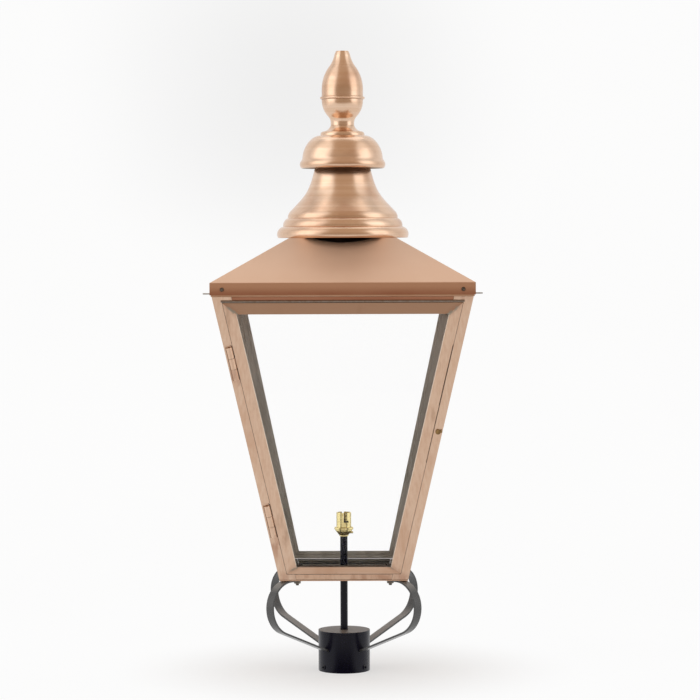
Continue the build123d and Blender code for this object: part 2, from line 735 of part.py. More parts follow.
# ================================================================ vent bar and tie rod
bar_top = deck_under - seat_gap
bar_length = vent_hole_diameter + 2 * vent_bar_lap
with BuildPart() as vent_bar:
    with BuildSketch(Plane.XY.offset(bar_top)):
        Rectangle(bar_length, vent_bar_width)
        Circle(tie_rod_diameter / 2 + running_gap, mode=Mode.SUBTRACT)
        with GridLocations(vent_hole_diameter + vent_bar_lap, 0, 2, 1):
            Circle(vent_screw_diameter / 2 + running_gap, mode=Mode.SUBTRACT)
    extrude(amount=-vent_bar_thickness)
save(vent_bar, "vent_bar")

with BuildPart() as vent_screws:
    with BuildSketch(Plane.XY.offset(deck_height + seat_gap)):
        with GridLocations(vent_hole_diameter + vent_bar_lap, 0, 2, 1):
            Circle(vent_screw_head / 2)
    extrude(amount=vent_screw_head_height)
    with BuildSketch(Plane.XY.offset(deck_height + seat_gap)):
        with GridLocations(vent_hole_diameter + vent_bar_lap, 0, 2, 1):
            Circle(vent_screw_diameter / 2)
    extrude(amount=-(roof_sheet + vent_bar_thickness + 5 * seat_gap))
save(vent_screws, "vent_screws")

hood_bottom = deck_height + seat_gap
dome_bottom = hood_bottom + hood_height
crown_top = dome_bottom + dome_height
collar_bottom = crown_top + seat_gap
finial_bottom = collar_bottom + collar_height + seat_gap
finial_floor = finial_bottom + 2 * tie_nut_thickness
rod_bottom = bar_top - vent_bar_thickness - 2 * tie_nut_thickness
rod_top = finial_floor + 2 * tie_nut_thickness
rod_hole = tie_rod_diameter / 2 + tie_hole_gap

with BuildPart() as tie_rod:
    with BuildSketch(Plane.XY.offset(rod_bottom)):
        Circle(tie_rod_diameter / 2)
    extrude(amount=rod_top - rod_bottom)
save(tie_rod, "tie_rod")

with BuildPart() as tie_rod_nuts:
    under_bar = bar_top - vent_bar_thickness - seat_gap - tie_nut_thickness
    for nut_bottom in (under_bar, bar_top + seat_gap, finial_floor + seat_gap):
        with BuildSketch(Plane.XY.offset(nut_bottom)):
            RegularPolygon(tie_nut_width / 2, 6, major_radius=False)
            Circle(tie_rod_diameter / 2 + running_gap, mode=Mode.SUBTRACT)
        extrude(amount=tie_nut_thickness)
save(tie_rod_nuts, "tie_rod_nuts")

# ================================================================ hood: a bell on three rounded steps
neck_top = crown_top - dome_crown - seat_gap


def on_hood(out, up):
    """Hood point: share of the way out from neck to rim, share of the height."""
    reach = hood_rim_radius - hood_neck_radius
    return (hood_neck_radius + out * reach, hood_bottom + up * hood_height)


with BuildPart() as hood_bell:
    with BuildSketch(Plane.XZ):
        with BuildLine():
            lower_bead = ThreePointArc(on_hood(1, 0), on_hood(1.027, 0.056), on_hood(0.932, 0.146))
            to_middle = Line(lower_bead @ 1, on_hood(0.863, 0.164))
            middle_bead = ThreePointArc(
                to_middle @ 1, on_hood(0.852, 0.218), on_hood(0.78, 0.27))
            to_upper = Line(middle_bead @ 1, on_hood(0.735, 0.283))
            upper_bead = ThreePointArc(to_upper @ 1, on_hood(0.727, 0.33), on_hood(0.684, 0.372))
            bell = Spline(
                upper_bead @ 1, on_hood(0.312, 0.59), on_hood(0.133, 0.763), on_hood(0, 1))
            neck = Line(bell @ 1, (hood_neck_radius, neck_top))
            lip = Line(neck @ 1, (hood_neck_radius - spun_wall, neck_top))
            inner_neck = Line(lip @ 1, (hood_neck_radius - spun_wall, hood_bottom + hood_height))
            inner_bell = ThreePointArc(inner_neck @ 1, on_hood(0.239, 0.59), on_hood(0.639, 0.347))
            inner_step = Line(inner_bell @ 1, on_hood(0.815, 0.172))
            inner_rim = Line(
                inner_step @ 1, (hood_rim_radius - spun_wall, hood_bottom + 0.067 * hood_height))
            inner_edge = Line(inner_rim @ 1, (hood_rim_radius - spun_wall, hood_bottom))
            Line(inner_edge @ 1, on_hood(1, 0))
        make_face()
    revolve(axis=Axis.Z)
save(hood_bell, "hood_bell")

# ================================================================ dome cap
ceiling = crown_top - dome_crown


def on_dome(out, up):
    """Dome point: share of the rim's radius, share of the height."""
    return (out * dome_rim_radius, dome_bottom + up * dome_height)


with BuildPart() as dome_cap:
    with BuildSketch(Plane.XZ):
        with BuildLine():
            bead = ThreePointArc(on_dome(1, 0), on_dome(1.037, 0.118), on_dome(1, 0.236))
            step = Line(bead @ 1, on_dome(0.975, 0.301))
            side_curve = ThreePointArc(step @ 1, on_dome(0.93, 0.578), on_dome(0.791, 0.857))
            shoulder = ThreePointArc(side_curve @ 1, on_dome(0.711, 0.942), on_dome(0.605, 1))
            crown = Line(shoulder @ 1, (rod_hole, crown_top))
            hole = Line(crown @ 1, (rod_hole, ceiling))
            ceiling_line = Line(hole @ 1, (hood_neck_radius + 3 * seat_gap, ceiling))
            inner_shoulder = Line(ceiling_line @ 1, on_dome(0.831, 0.722))
            inner_side = Line(inner_shoulder @ 1, on_dome(0.95, 0.29))
            inner_bead = Line(inner_side @ 1, (dome_rim_radius - spun_wall, dome_bottom))
            Line(inner_bead @ 1, on_dome(1, 0))
        make_face()
    revolve(axis=Axis.Z)
save(dome_cap, "dome_cap")

# ================================================================ collar and finial


def on_collar(out, up):
    """Collar point: share of the way out from the finial's waist, share of the height."""
    reach = collar_radius - finial_waist_radius
    return (finial_waist_radius + out * reach, collar_bottom + up * collar_height)


with BuildPart() as finial_collar:
    with BuildSketch(Plane.XZ):
        with BuildLine():
            edge = Line(on_collar(1, 0), on_collar(1, 0.132))
            round_edge = ThreePointArc(edge @ 1, on_collar(0.932, 0.323), on_collar(0.716, 0.431))
            cove = ThreePointArc(round_edge @ 1, on_collar(0.25, 0.659), on_collar(0.023, 1))
            top = Line(cove @ 1, (rod_hole, collar_bottom + collar_height))
            hole = Line(top @ 1, (rod_hole, collar_bottom))
            Line(hole @ 1, on_collar(1, 0))
        make_face()
    revolve(axis=Axis.Z)
save(finial_collar, "finial_collar")

ring_bottom = finial_bottom + finial_lower_height + seat_gap
upper_bottom = ring_bottom + finial_ring_height + seat_gap
finial_inner = finial_radius - spun_wall


def on_lower_finial(out, up):
    """Point of the finial's lower half: share of the way out from its waist, share of height."""
    reach = finial_radius - finial_waist_radius
    return (finial_waist_radius + out * reach, finial_bottom + up * finial_lower_height)


def on_upper_finial(out, up):
    """Point of the finial's upper half: share of the way out from its tip, share of height."""
    reach = finial_radius - finial_tip_radius
    return (finial_tip_radius + out * reach, upper_bottom + up * finial_upper_height)


with BuildPart() as finial_lower:
    with BuildSketch(Plane.XZ):
        with BuildLine():
            waist = Line(on_lower_finial(0, 0), on_lower_finial(0, 0.11))
            cove = ThreePointArc(
                waist @ 1, on_lower_finial(0.092, 0.257), on_lower_finial(0.314, 0.366))
            swell = ThreePointArc(cove @ 1, on_lower_finial(0.758, 0.592), on_lower_finial(1, 1))
            top = Line(swell @ 1, (finial_inner - spun_wall, ring_bottom - seat_gap))
            inside = Line(top @ 1, (finial_waist_radius - 2 * spun_wall, finial_floor))
            floor = Line(inside @ 1, (rod_hole, finial_floor))
            hole = Line(floor @ 1, (rod_hole, finial_bottom))
            Line(hole @ 1, on_lower_finial(0, 0))
        make_face()
    revolve(axis=Axis.Z)
save(finial_lower, "finial_lower")

with BuildPart() as finial_ring:
    with BuildSketch(Plane.XZ):
        with BuildLine():
            ring_top = ring_bottom + finial_ring_height
            ring_face = finial_ring_radius - finial_ring_height / 2
            under = Line((finial_inner - spun_wall, ring_bottom), (ring_face, ring_bottom))
            middle = (finial_ring_radius, ring_bottom + finial_ring_height / 2)
            bead = ThreePointArc(under @ 1, middle, (ring_face, ring_top))
            over = Line(bead @ 1, (finial_inner - spun_wall, ring_top))
            Line(over @ 1, under @ 0)
        make_face()
    revolve(axis=Axis.Z)
save(finial_ring, "finial_ring")

with BuildPart() as finial_upper:
    with BuildSketch(Plane.XZ):
        with BuildLine():
            side_line = Line(on_upper_finial(1, 0), on_upper_finial(1, 0.12))
            body = ThreePointArc(
                side_line @ 1, on_upper_finial(0.919, 0.366), on_upper_finial(0.543, 0.633))
            throat = ThreePointArc(
                body @ 1, on_upper_finial(0.275, 0.766), on_upper_finial(0.121, 0.9))
            tip_side = Line(throat @ 1, on_upper_finial(0.085, 0.943))
            tip_edge = Line(tip_side @ 1, on_upper_finial(0, 1))
            top = Line(tip_edge @ 1, (0, upper_bottom + finial_upper_height))
            axis_line = Line(top @ 1, (0, upper_bottom + 0.9 * finial_upper_height))
            ceiling_line = Line(axis_line @ 1, on_upper_finial(-0.12, 0.9))
            inner_slope = Line(
                ceiling_line @ 1,
                (finial_inner - spun_wall, upper_bottom + 0.19 * finial_upper_height))
            inner_wall = Line(inner_slope @ 1, (finial_inner - spun_wall, upper_bottom))
            Line(inner_wall @ 1, on_upper_finial(1, 0))
        make_face()
    revolve(axis=Axis.Z)
save(finial_upper, "finial_upper")

# ================================================================ lampholder
stem_fit = stem_diameter / 2 + seat_gap
cone_top = holder_bottom + holder_cone_height
barrel_bottom = cone_top + seat_gap
barrel_inner = holder_barrel_bore / 2
barrel_outer = barrel_inner + holder_barrel_wall
insulator_bottom = barrel_bottom + 2 * sheet
insulator_top = insulator_bottom + insulator_rim
insulator_radius = barrel_inner - holder_barrel_step - insulator_gap
grip_height = holder_bottom + grip_screw_height

with BuildPart() as holder_cone:
    with BuildSketch(Plane.XZ):
        Polygon(
            (stem_fit, holder_bottom), (holder_neck_radius, holder_bottom),
            (holder_neck_radius, holder_bottom + 1.5), (holder_cone_radius, cone_top - 1.5),
            (holder_cone_radius, cone_top), (barrel_inner, cone_top),
            (barrel_inner, cone_top - 2.0), (stem_fit, cone_top - 2.0), align=None)
    revolve(axis=Axis.Z)
    with BuildSketch(Plane.YZ):
        with Locations((0, grip_height)):
            Circle(grip_screw_diameter / 2 + running_gap)
    extrude(amount=holder_cone_radius, mode=Mode.SUBTRACT)
save(holder_cone, "holder_cone")

with BuildPart() as holder_grip_screw:
    with BuildSketch(Plane.YZ.offset(stem_fit)):
        with Locations((0, grip_height)):
            Circle(grip_screw_diameter / 2)
    extrude(amount=grip_screw_reach - stem_fit)
save(holder_grip_screw, "holder_grip_screw")

with BuildPart() as holder_ring:
    with BuildSketch(Plane.XY.offset(barrel_bottom)):
        Circle(holder_ring_radius)
        Circle(barrel_outer + running_gap, mode=Mode.SUBTRACT)
    extrude(amount=holder_ring_height)
    chamfer(holder_ring.edges().filter_by(GeomType.CIRCLE).sort_by(SortBy.RADIUS)[-2:], 0.8)
save(holder_ring, "holder_ring")

with BuildPart() as holder_barrel:
    with BuildSketch(Plane.XY.offset(barrel_bottom)):
        Circle(barrel_outer)
        Circle(insulator_radius + insulator_gap, mode=Mode.SUBTRACT)
    extrude(amount=holder_top - barrel_bottom)
    with BuildSketch(Plane.XY.offset(insulator_top + seat_gap)):
        Circle(barrel_inner)
    extrude(amount=holder_top - insulator_top - seat_gap, mode=Mode.SUBTRACT)
    for facing in (slot_turn, 180 + slot_turn):
        with BuildSketch(upright_plane(facing)):
            with Locations((0, holder_top)):
                Rectangle(slot_width, slot_depth, align=(Align.CENTER, Align.MAX))
            with Locations((0, holder_top - slot_depth)):
                Rectangle(slot_width / 2 + slot_hook, slot_hook_width,
                          align=(Align.MIN, Align.MIN))
        extrude(amount=barrel_outer, mode=Mode.SUBTRACT)
save(holder_barrel, "holder_barrel")

with BuildPart() as holder_insulator:
    with BuildSketch(Plane.XY.offset(insulator_bottom)):
        Circle(insulator_radius)
        with GridLocations(plunger_spacing, 0, 2, 1):
            Circle(plunger_diameter / 2 + running_gap, mode=Mode.SUBTRACT)
    extrude(amount=insulator_floor)
    with BuildSketch(Plane.XY.offset(insulator_bottom + insulator_floor)):
        Circle(insulator_radius)
        Circle(insulator_radius - insulator_rim_wall, mode=Mode.SUBTRACT)
    extrude(amount=insulator_rim - insulator_floor)
save(holder_insulator, "holder_insulator")

plunger_top = insulator_top - seat_gap
for plunger_name, place in (("left", -plunger_spacing / 2), ("right", plunger_spacing / 2)):
    with BuildPart() as plunger:
        with BuildSketch(Plane.XY.offset(plunger_top - plunger_length)):
            with Locations((place, 0)):
                Circle(plunger_diameter / 2)
        extrude(amount=plunger_length)
        chamfer(plunger.edges().group_by(Axis.Z)[-1], plunger_diameter / 8)
    save(plunger, f"contact_plunger_{plunger_name}")
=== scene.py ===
from math import atan, cos, pi, radians, sin, sqrt

import bmesh
import bpy
from mathutils import Matrix, Vector


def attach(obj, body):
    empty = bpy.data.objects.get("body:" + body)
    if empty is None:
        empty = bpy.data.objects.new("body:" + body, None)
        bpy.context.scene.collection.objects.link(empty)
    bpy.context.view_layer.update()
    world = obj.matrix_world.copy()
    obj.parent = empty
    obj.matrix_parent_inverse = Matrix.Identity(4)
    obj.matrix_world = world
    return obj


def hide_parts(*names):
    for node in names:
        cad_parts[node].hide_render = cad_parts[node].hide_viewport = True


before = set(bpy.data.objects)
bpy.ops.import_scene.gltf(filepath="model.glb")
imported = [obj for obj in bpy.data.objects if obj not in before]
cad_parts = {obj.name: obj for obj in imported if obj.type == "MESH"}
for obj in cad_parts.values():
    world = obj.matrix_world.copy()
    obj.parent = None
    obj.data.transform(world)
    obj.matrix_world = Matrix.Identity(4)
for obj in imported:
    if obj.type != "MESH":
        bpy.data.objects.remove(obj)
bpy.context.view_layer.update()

# Post top lantern in brushed copper: its finishes, its eased pieces, its fasteners, its turned
# pieces, then the studio. Metres, in the frame of the solids: Z up, the door faces -Y.

MM = 0.001

# ---------------------------------------------------------------- measures shared with the solids
BODY_BOTTOM = 168 * MM
BODY_TOP = 650 * MM
BODY_BOTTOM_HALF = 108.3 * MM
BODY_TOP_HALF = 215 * MM
SLOPE = (BODY_TOP_HALF - BODY_BOTTOM_HALF) / (BODY_TOP - BODY_BOTTOM)
LEAN = atan(SLOPE)
POST_FACE = 14.5 * MM
FRAME_FACE = 19.5 * MM
FRAME_LOW = 180.0 * MM
FRAME_HIGH = 640.2 * MM
BOTTOM_SIGHT = 12.5 * MM
TOP_SIGHT = 19.5 * MM
EAVES = 673 * MM
SKIRT_BOTTOM = 653 * MM
HEAT_MARKS = (510 * MM, 236 * MM)  # heights of the scorches below the hinges
LATCH_JOINT = (468 * MM, 570 * MM)  # heights between which the joint beside the latch has painted shade in its gap
LATCH_SHADE_LOW = 433 * MM  # lower end of the fainter painted shade in that gap under it
SIDES = {"front": (0, -1), "right": (1, 0), "back": (0, 1), "left": (-1, 0)}
CORNERS = {"front_left": (-1, -1), "front_right": (1, -1), "rear_right": (1, 1), "rear_left": (-1, 1)}


# ---------------------------------------------------------------- shader maths
class Signal:
    """A number on its way through a finish."""

    def __init__(self, finish, socket):
        self.finish = finish
        self.socket = socket

    def maths(self, operation, *others):
        made = self.finish.node("ShaderNodeMath", {"operation": operation}, dict(enumerate(others)))
        return Signal(self.finish, made.outputs[0])

    def __add__(self, other):
        return self.maths("ADD", self, other)

    def __radd__(self, other):
        return self.maths("ADD", other, self)

    def __sub__(self, other):
        return self.maths("SUBTRACT", self, other)

    def __rsub__(self, other):
        return self.maths("SUBTRACT", other, self)

    def __mul__(self, other):
        return self.maths("MULTIPLY", self, other)

    def __rmul__(self, other):
        return self.maths("MULTIPLY", other, self)

    def __truediv__(self, other):
        return self.maths("DIVIDE", self, other)

    def __abs__(self):
        return self.maths("ABSOLUTE", self)

    def __pow__(self, other):
        return self.maths("POWER", self, other)

    def least(self, other):
        return self.maths("MINIMUM", self, other)

    def most(self, other):
        return self.maths("MAXIMUM", self, other)

    def rise(self, low, high):
        """0 below low, 1 above high, smooth between."""
        made = self.finish.node(
            "ShaderNodeMapRange", {"interpolation_type": "SMOOTHSTEP"},
            {"Value": self, "From Min": low, "From Max": high})
        return Signal(self.finish, made.outputs[0])

    def fall(self, low, high):
        """1 below low, 0 above high, smooth between."""
        made = self.finish.node(
            "ShaderNodeMapRange", {"interpolation_type": "SMOOTHSTEP"},
            {"Value": self, "From Min": low, "From Max": high, "To Min": 1.0, "To Max": 0.0})
        return Signal(self.finish, made.outputs[0])

    def spread(self, low, high):
        """0 to 1 stretched over low to high."""
        made = self.finish.node(
            "ShaderNodeMapRange", {}, {"Value": self, "To Min": low, "To Max": high})
        return Signal(self.finish, made.outputs[0])


class Finish:
    """One material while it is being put together."""

    def __init__(self, name, tree=None):
        if tree is None:
            self.material = bpy.data.materials.new(name)
            self.material.use_nodes = True
            tree = self.material.node_tree
        self.tree = tree
        tree.nodes.clear()

    def node(self, kind, settings, sockets):
        """A node of this kind, its settings made first, then the values or links of its sockets."""
        made = self.tree.nodes.new(kind)
        for key, value in settings.items():
            if key == "stops":
                while len(made.color_ramp.elements) < len(value):
                    made.color_ramp.elements.new(1.0)
                for element, (place, colour) in zip(made.color_ramp.elements, value):
                    element.position = place
                    element.color = colour
            else:
                setattr(made, key, value)
        for key, value in sockets.items():
            if isinstance(value, Signal):
                value = value.socket
            if isinstance(value, bpy.types.NodeSocket):
                self.tree.links.new(value, made.inputs[key])
            else:
                made.inputs[key].default_value = value
        return made

    def surface(self, **constant):
        """The shader that everything feeds, with the numbers that are the same all over."""
        sockets = {key.replace("_", " ").title().replace("Ior", "IOR"): value
                   for key, value in constant.items()}
        self.shader = self.node("ShaderNodeBsdfPrincipled", {}, sockets)
        self.node("ShaderNodeOutputMaterial", {}, {"Surface": self.shader.outputs[0]})
        spots = self.node("ShaderNodeTexCoord", {}, {})
        self.place = spots.outputs["Object"]
        self.facing = spots.outputs["Normal"]
        return self

    def feed(self, socket, value):
        if isinstance(value, Signal):
            value = value.socket
        self.tree.links.new(value, self.shader.inputs[socket])

    def parts(self, vector):
        split = self.node("ShaderNodeSeparateXYZ", {}, {0: vector})
        return [Signal(self, socket) for socket in split.outputs[:3]]

    def noise(self, scale, stretch=(1, 1, 1), detail=3.0, rough=0.5, shift=(0, 0, 0), vector=None):
        """Cloudy pattern, about `scale` features in a metre along each stretched axis."""
        mapped = self.node("ShaderNodeMapping", {}, {
            "Vector": vector or self.place, "Scale": stretch, "Location": shift})
        made = self.node("ShaderNodeTexNoise", {}, {
            "Vector": mapped.outputs[0], "Scale": scale, "Detail": detail, "Roughness": rough})
        return Signal(self, made.outputs[0])

    def blend(self, factor, under, over):
        made = self.node("ShaderNodeMix", {"data_type": "RGBA"}, {0: factor, 6: under, 7: over})
        return made.outputs[2]

    def relief(self, height, distance, strength=1.0):
        made = self.node("ShaderNodeBump", {}, {
            "Height": height, "Distance": distance, "Strength": strength})
        self.feed("Normal", made.outputs[0])


# ---------------------------------------------------------------- colours
COPPER = (0.70, 0.465, 0.325, 1)
COPPER_PALE = (0.80, 0.585, 0.44, 1)
SPUN = (0.75, 0.50, 0.335, 1)
SPUN_PALE = (0.86, 0.63, 0.475, 1)
COPPER_WARM = (0.56, 0.31, 0.19, 1)
COPPER_BROWN = (0.36, 0.20, 0.12, 1)
SCORCHED_AND_SHADED = (0.30, 0.10, 0.05, 1)
GAP_DARK_SHADE = (0.07, 0.032, 0.018, 1)
JOINT_LINE = (0.10, 0.055, 0.035, 1)
EDGE_HIGHLIGHT = (0.95, 0.86, 0.72, 1)
RIM_SHADOW = (0.010, 0.006, 0.004, 1)
TINNED = (0.34, 0.31, 0.25, 1)
INNER_GREY = (0.40, 0.385, 0.35, 1)
TOP_SHADE = (0.10, 0.09, 0.08, 1)
FLUX = (0.150, 0.130, 0.110, 1)
FLUX_PALE = (0.200, 0.178, 0.152, 1)
DULL_LIGHT = (0.66, 0.645, 0.61, 1)
BRASS = (0.92, 0.78, 0.38, 1)
BRASS_DEEP = (0.42, 0.30, 0.09, 1)
BRASS_AGED = (0.34, 0.21, 0.085, 1)
BLACK_PAINT = (0.0015, 0.0012, 0.010, 1)
BLACK_WORN = (0.030, 0.029, 0.029, 1)
DUST = (0.32, 0.30, 0.275, 1)
MOULDED = (0.07, 0.062, 0.045, 1)
MOULDED_PALE = (0.12, 0.105, 0.075, 1)
STRAP_PAINT = (0.022, 0.0215, 0.0215, 1)
STEEL = (0.50, 0.48, 0.45, 1)
STEEL_DARK = (0.16, 0.13, 0.105, 1)


def copper_tones(finish, streaks, clouds, deep=COPPER, pale=COPPER_PALE):
    """Sheet copper's own colour: streaks along the brushing, slow clouds of tone."""
    tone = finish.blend(streaks.rise(0.25, 0.75), deep, pale)
    return finish.blend(clouds.rise(0.52, 0.80) * 0.45, tone, COPPER_WARM)


def dull_inside(finish, colour, outward, covered_top_shade=0.0):
    """Grey, tinned inner faces behind the outward direction; covered pieces are grey on top too,
    darkened there as painted shade under the parts above.
    """
    nx, ny, nz = finish.parts(finish.facing)
    if outward is None:
        x, y, z = finish.parts(finish.place)
        reach = (x * x + y * y) ** 0.5
        faces_out = (nx * x + ny * y) / reach.most(0.001)
    else:
        faces_out = nx * outward[0] + ny * outward[1]
    inside = faces_out.fall(-0.45, -0.25).most(nz.rise(0.4, 0.6) * covered_top_shade)
    mottle = finish.noise(38, (1, 1, 0.35), 4)
    x, y, z = finish.parts(finish.place)
    paler = (mottle.rise(0.35, 0.7) * 0.5 + z.rise(0.25, 0.6) * 0.6).least(1.0)
    grey = finish.blend(paler, INNER_GREY, DULL_LIGHT)
    # the up faces of covered pieces darkened: painted shade under the parts above them
    grey = finish.blend(nz.rise(0.4, 0.6) * covered_top_shade * 0.8, grey, TOP_SHADE)
    return finish.blend(inside, colour, grey), inside


def frame_copper(side):
    """Brushed copper for the glazed frame of one side: mitred corners, solder, heat marks."""
    out_x, out_y = SIDES[side]
    finish = Finish(f"copper_frame_{side}").surface(metallic=1.0)
    x, y, z = finish.parts(finish.place)
    along = x if out_y else y
    half = (z - BODY_BOTTOM) * SLOPE + BODY_BOTTOM_HALF
    from_side = (half - POST_FACE - abs(along)) * cos(atan(SLOPE * cos(LEAN)))
    from_top = (FRAME_HIGH - z) / cos(LEAN)
    from_bottom = (z - FRAME_LOW) / cos(LEAN)
    top_mitre = from_top * (FRAME_FACE / TOP_SIGHT) - from_side
    bottom_mitre = from_bottom * (FRAME_FACE / BOTTOM_SIGHT) - from_side
    mitre = top_mitre.least(bottom_mitre)
    stile = mitre.rise(-0.0002, 0.0002)

    upright = finish.noise(260, (1, 1, 0.045), 4, 0.6)
    level = finish.noise(260, (0.045, 1, 1) if out_y else (1, 0.045, 1), 4, 0.6)
    streaks = upright * stile + level * (1 - stile)
    clouds = finish.noise(16, (1, 1, 0.35), 3, 0.55, (3.1, 0.4, 1.7))
    tone = copper_tones(finish, streaks, clouds)
    rail_tone = finish.blend(finish.noise(22, (1, 1, 1), 3).spread(0.15, 0.5), tone, COPPER_WARM)
    # the frames' upper rails darker brown: painted shade under the eaves
    upper = finish.blend(0.80, rail_tone, COPPER_BROWN)
    rail_tone = finish.blend(z.rise(0.5, 0.55), rail_tone, upper)
    tone = finish.blend(stile, rail_tone, tone)
    # darker rubbed patches that run along the members
    rubbed = finish.noise(34, (1, 1, 0.22), 4, 0.6, (0.7, 2.9, 4.2))
    tone = finish.blend(rubbed.rise(0.56, 0.74) * 0.5, tone, COPPER_BROWN)

    wander = finish.noise(190, (1, 1, 1), 3, 0.6) - 0.5
    near_mitre = abs(mitre + wander * 0.006)
    reach = from_side.least(from_top.least(from_bottom))
    scorch = near_mitre.fall(0.001, 0.014) * reach.rise(-0.002, 0.004)
    tone = finish.blend(scorch * 0.22, tone, SCORCHED_AND_SHADED)
    solder = near_mitre.fall(0.0015, 0.0058) * reach.rise(0.003, 0.010)
    solder = solder * finish.noise(75, (1, 1, 1), 3, 0.6).rise(0.34, 0.50)
    tone = finish.blend(solder * 0.85, tone, TINNED)
    # a painted highlight: a pale cream line along each stile's inner edge
    painted_edge_highlight = from_side.rise(FRAME_FACE - 1.6 * MM, FRAME_FACE - 0.7 * MM) * stile
    tone = finish.blend(painted_edge_highlight * 0.55, tone, EDGE_HIGHLIGHT)
    joint = abs(mitre).fall(0.0001, 0.0006)
    tone = finish.blend(joint * 0.22, tone, JOINT_LINE)
    if side == "front":
        # the open joint beside the latch, with painted shade in the gap, fainter below
        low, high = LATCH_JOINT
        on_right = x.rise(0.0, 10 * MM)
        painted_gap_shade = from_side.fall(1.0 * MM, 2.4 * MM) * on_right * z.rise(low - 2 * MM, low + 2 * MM)
        fainter_low_shade = from_side.fall(0.4 * MM, 1.8 * MM) * on_right
        fainter_low_shade = fainter_low_shade * z.rise(LATCH_SHADE_LOW - 3 * MM, LATCH_SHADE_LOW + 3 * MM) * 0.6
        stretch = painted_gap_shade.most(fainter_low_shade) * z.fall(high - 3 * MM, high + 2 * MM)
        tone = finish.blend(stretch * 0.9, tone, GAP_DARK_SHADE)
    tone, inside = dull_inside(finish, tone, (out_x, out_y), 1.0)
    finish.feed("Base Color", tone)
    rough = streaks.spread(0.30, 0.50) + clouds * 0.08 + solder * 0.1
    finish.feed("Roughness", rough + inside * 0.15)
    finish.relief(streaks * 0.5 + solder * 1.5 - joint, 0.00012, 0.6)
    return finish.material


def sheet_copper(name, outward=None, scorch_and_shade=None, brushing=(1, 1, 0.045), shade=0.0, inner=True,
                 covered_top_shade=0.0):
    """Brushed sheet copper, with a function that gives where it has been scorched, and on the head
    rails where shade is painted too.
    """
    finish = Finish(name).surface(metallic=1.0)
    streaks = finish.noise(260, brushing, 4, 0.6)
    clouds = finish.noise(14, (1, 1, 0.5), 3, 0.55, (1.3, 5.2, 0.6))
    tone = copper_tones(finish, streaks, clouds)
    if shade:
        tone = finish.blend(shade, tone, COPPER_WARM)
    if scorch_and_shade:
        tone = finish.blend(scorch_and_shade(finish), tone, SCORCHED_AND_SHADED)
    rough = streaks.spread(0.27, 0.45) + clouds * 0.08
    if inner:
        tone, inside = dull_inside(finish, tone, outward, covered_top_shade)
        rough = rough + inside * 0.18
    finish.feed("Base Color", tone)
    finish.feed("Roughness", rough)
    finish.relief(streaks, 0.00008, 0.5)
    return finish.material


def hinge_heat(finish):
    """Scorch left by the soldering iron below the hinges and at the post's foot."""
    z = finish.parts(finish.place)[2]
    upper, lower = HEAT_MARKS
    marks = abs(z - upper).fall(0.004, 0.035) + abs(z - lower).fall(0.004, 0.045)
    patchy = finish.noise(70, (1, 1, 0.4), 3).rise(0.38, 0.62)
    foot = z.fall(0.176, 0.19) * 0.6
    return (marks * patchy + foot * patchy).least(1.0) * 0.45


def foot_heat(finish):
    """Scorch at a post's two ends."""
    z = finish.parts(finish.place)[2]
    patchy = finish.noise(70, (1, 1, 0.4), 3).rise(0.38, 0.62)
    ends = z.fall(0.174, 0.19) + z.rise(0.638, 0.652)
    return (ends * patchy).least(1.0) * 0.4


def head_browning_and_shade(finish):
    """Uneven browning along the head rails, partly painted shade under the roof's skirt."""
    return finish.noise(30, (0.3, 0.3, 1), 3).spread(0.5, 0.95)


def roof_sheet_copper():
    """The four slopes: even and satin, slightly browned away from the hood and left paler near it as
    painted light, with a painted shadow right beneath its rim.
    """
    finish = Finish("copper_roof").surface(metallic=1.0)
    x, y, z = finish.parts(finish.place)
    brushed = finish.noise(240, (1, 1, 1), 4, 0.6)
    clouds = finish.noise(9, (1, 1, 0.5), 3, 0.55, (1.3, 5.2, 0.6))
    tone = finish.blend(brushed.spread(0.0, 0.35) + clouds.rise(0.3, 0.8) * 0.3, COPPER, COPPER_PALE)
    reach = (x * x + y * y) ** 0.5
    # paler near the hood: painted light that offsets the hood's dark reflection
    painted_light_near_hood = reach.fall(0.105, 0.19) * z.rise(0.70, 0.72)
    tone = finish.blend(0.08 - painted_light_near_hood * 0.08, tone, COPPER_BROWN)
    skirt = z.fall(EAVES - 0.001, EAVES + 0.0015)
    patchy = finish.noise(30, (0.4, 0.4, 1), 4).spread(0.55, 1.15)
    tone = finish.blend(skirt * 0.95, tone, COPPER_WARM)
    low = z.fall(SKIRT_BOTTOM, EAVES - 0.004) * patchy
    tone = finish.blend((low * 0.75).least(0.85), tone, SCORCHED_AND_SHADED)
    # a painted shadow, near black, in a thin ring right beneath the hood's rim
    painted_rim_shadow = (reach + finish.noise(60, (1, 1, 1), 2) * 0.004).fall(0.1055, 0.1080) * z.rise(0.70, 0.71)
    tone = finish.blend(painted_rim_shadow * 0.97, tone, RIM_SHADOW)
    finish.feed("Base Color", tone)
    finish.feed("Roughness", brushed.spread(0.46, 0.58) + clouds * 0.06 + painted_rim_shadow * 0.3)
    finish.relief(brushed, 0.00005, 0.4)
    return finish.material


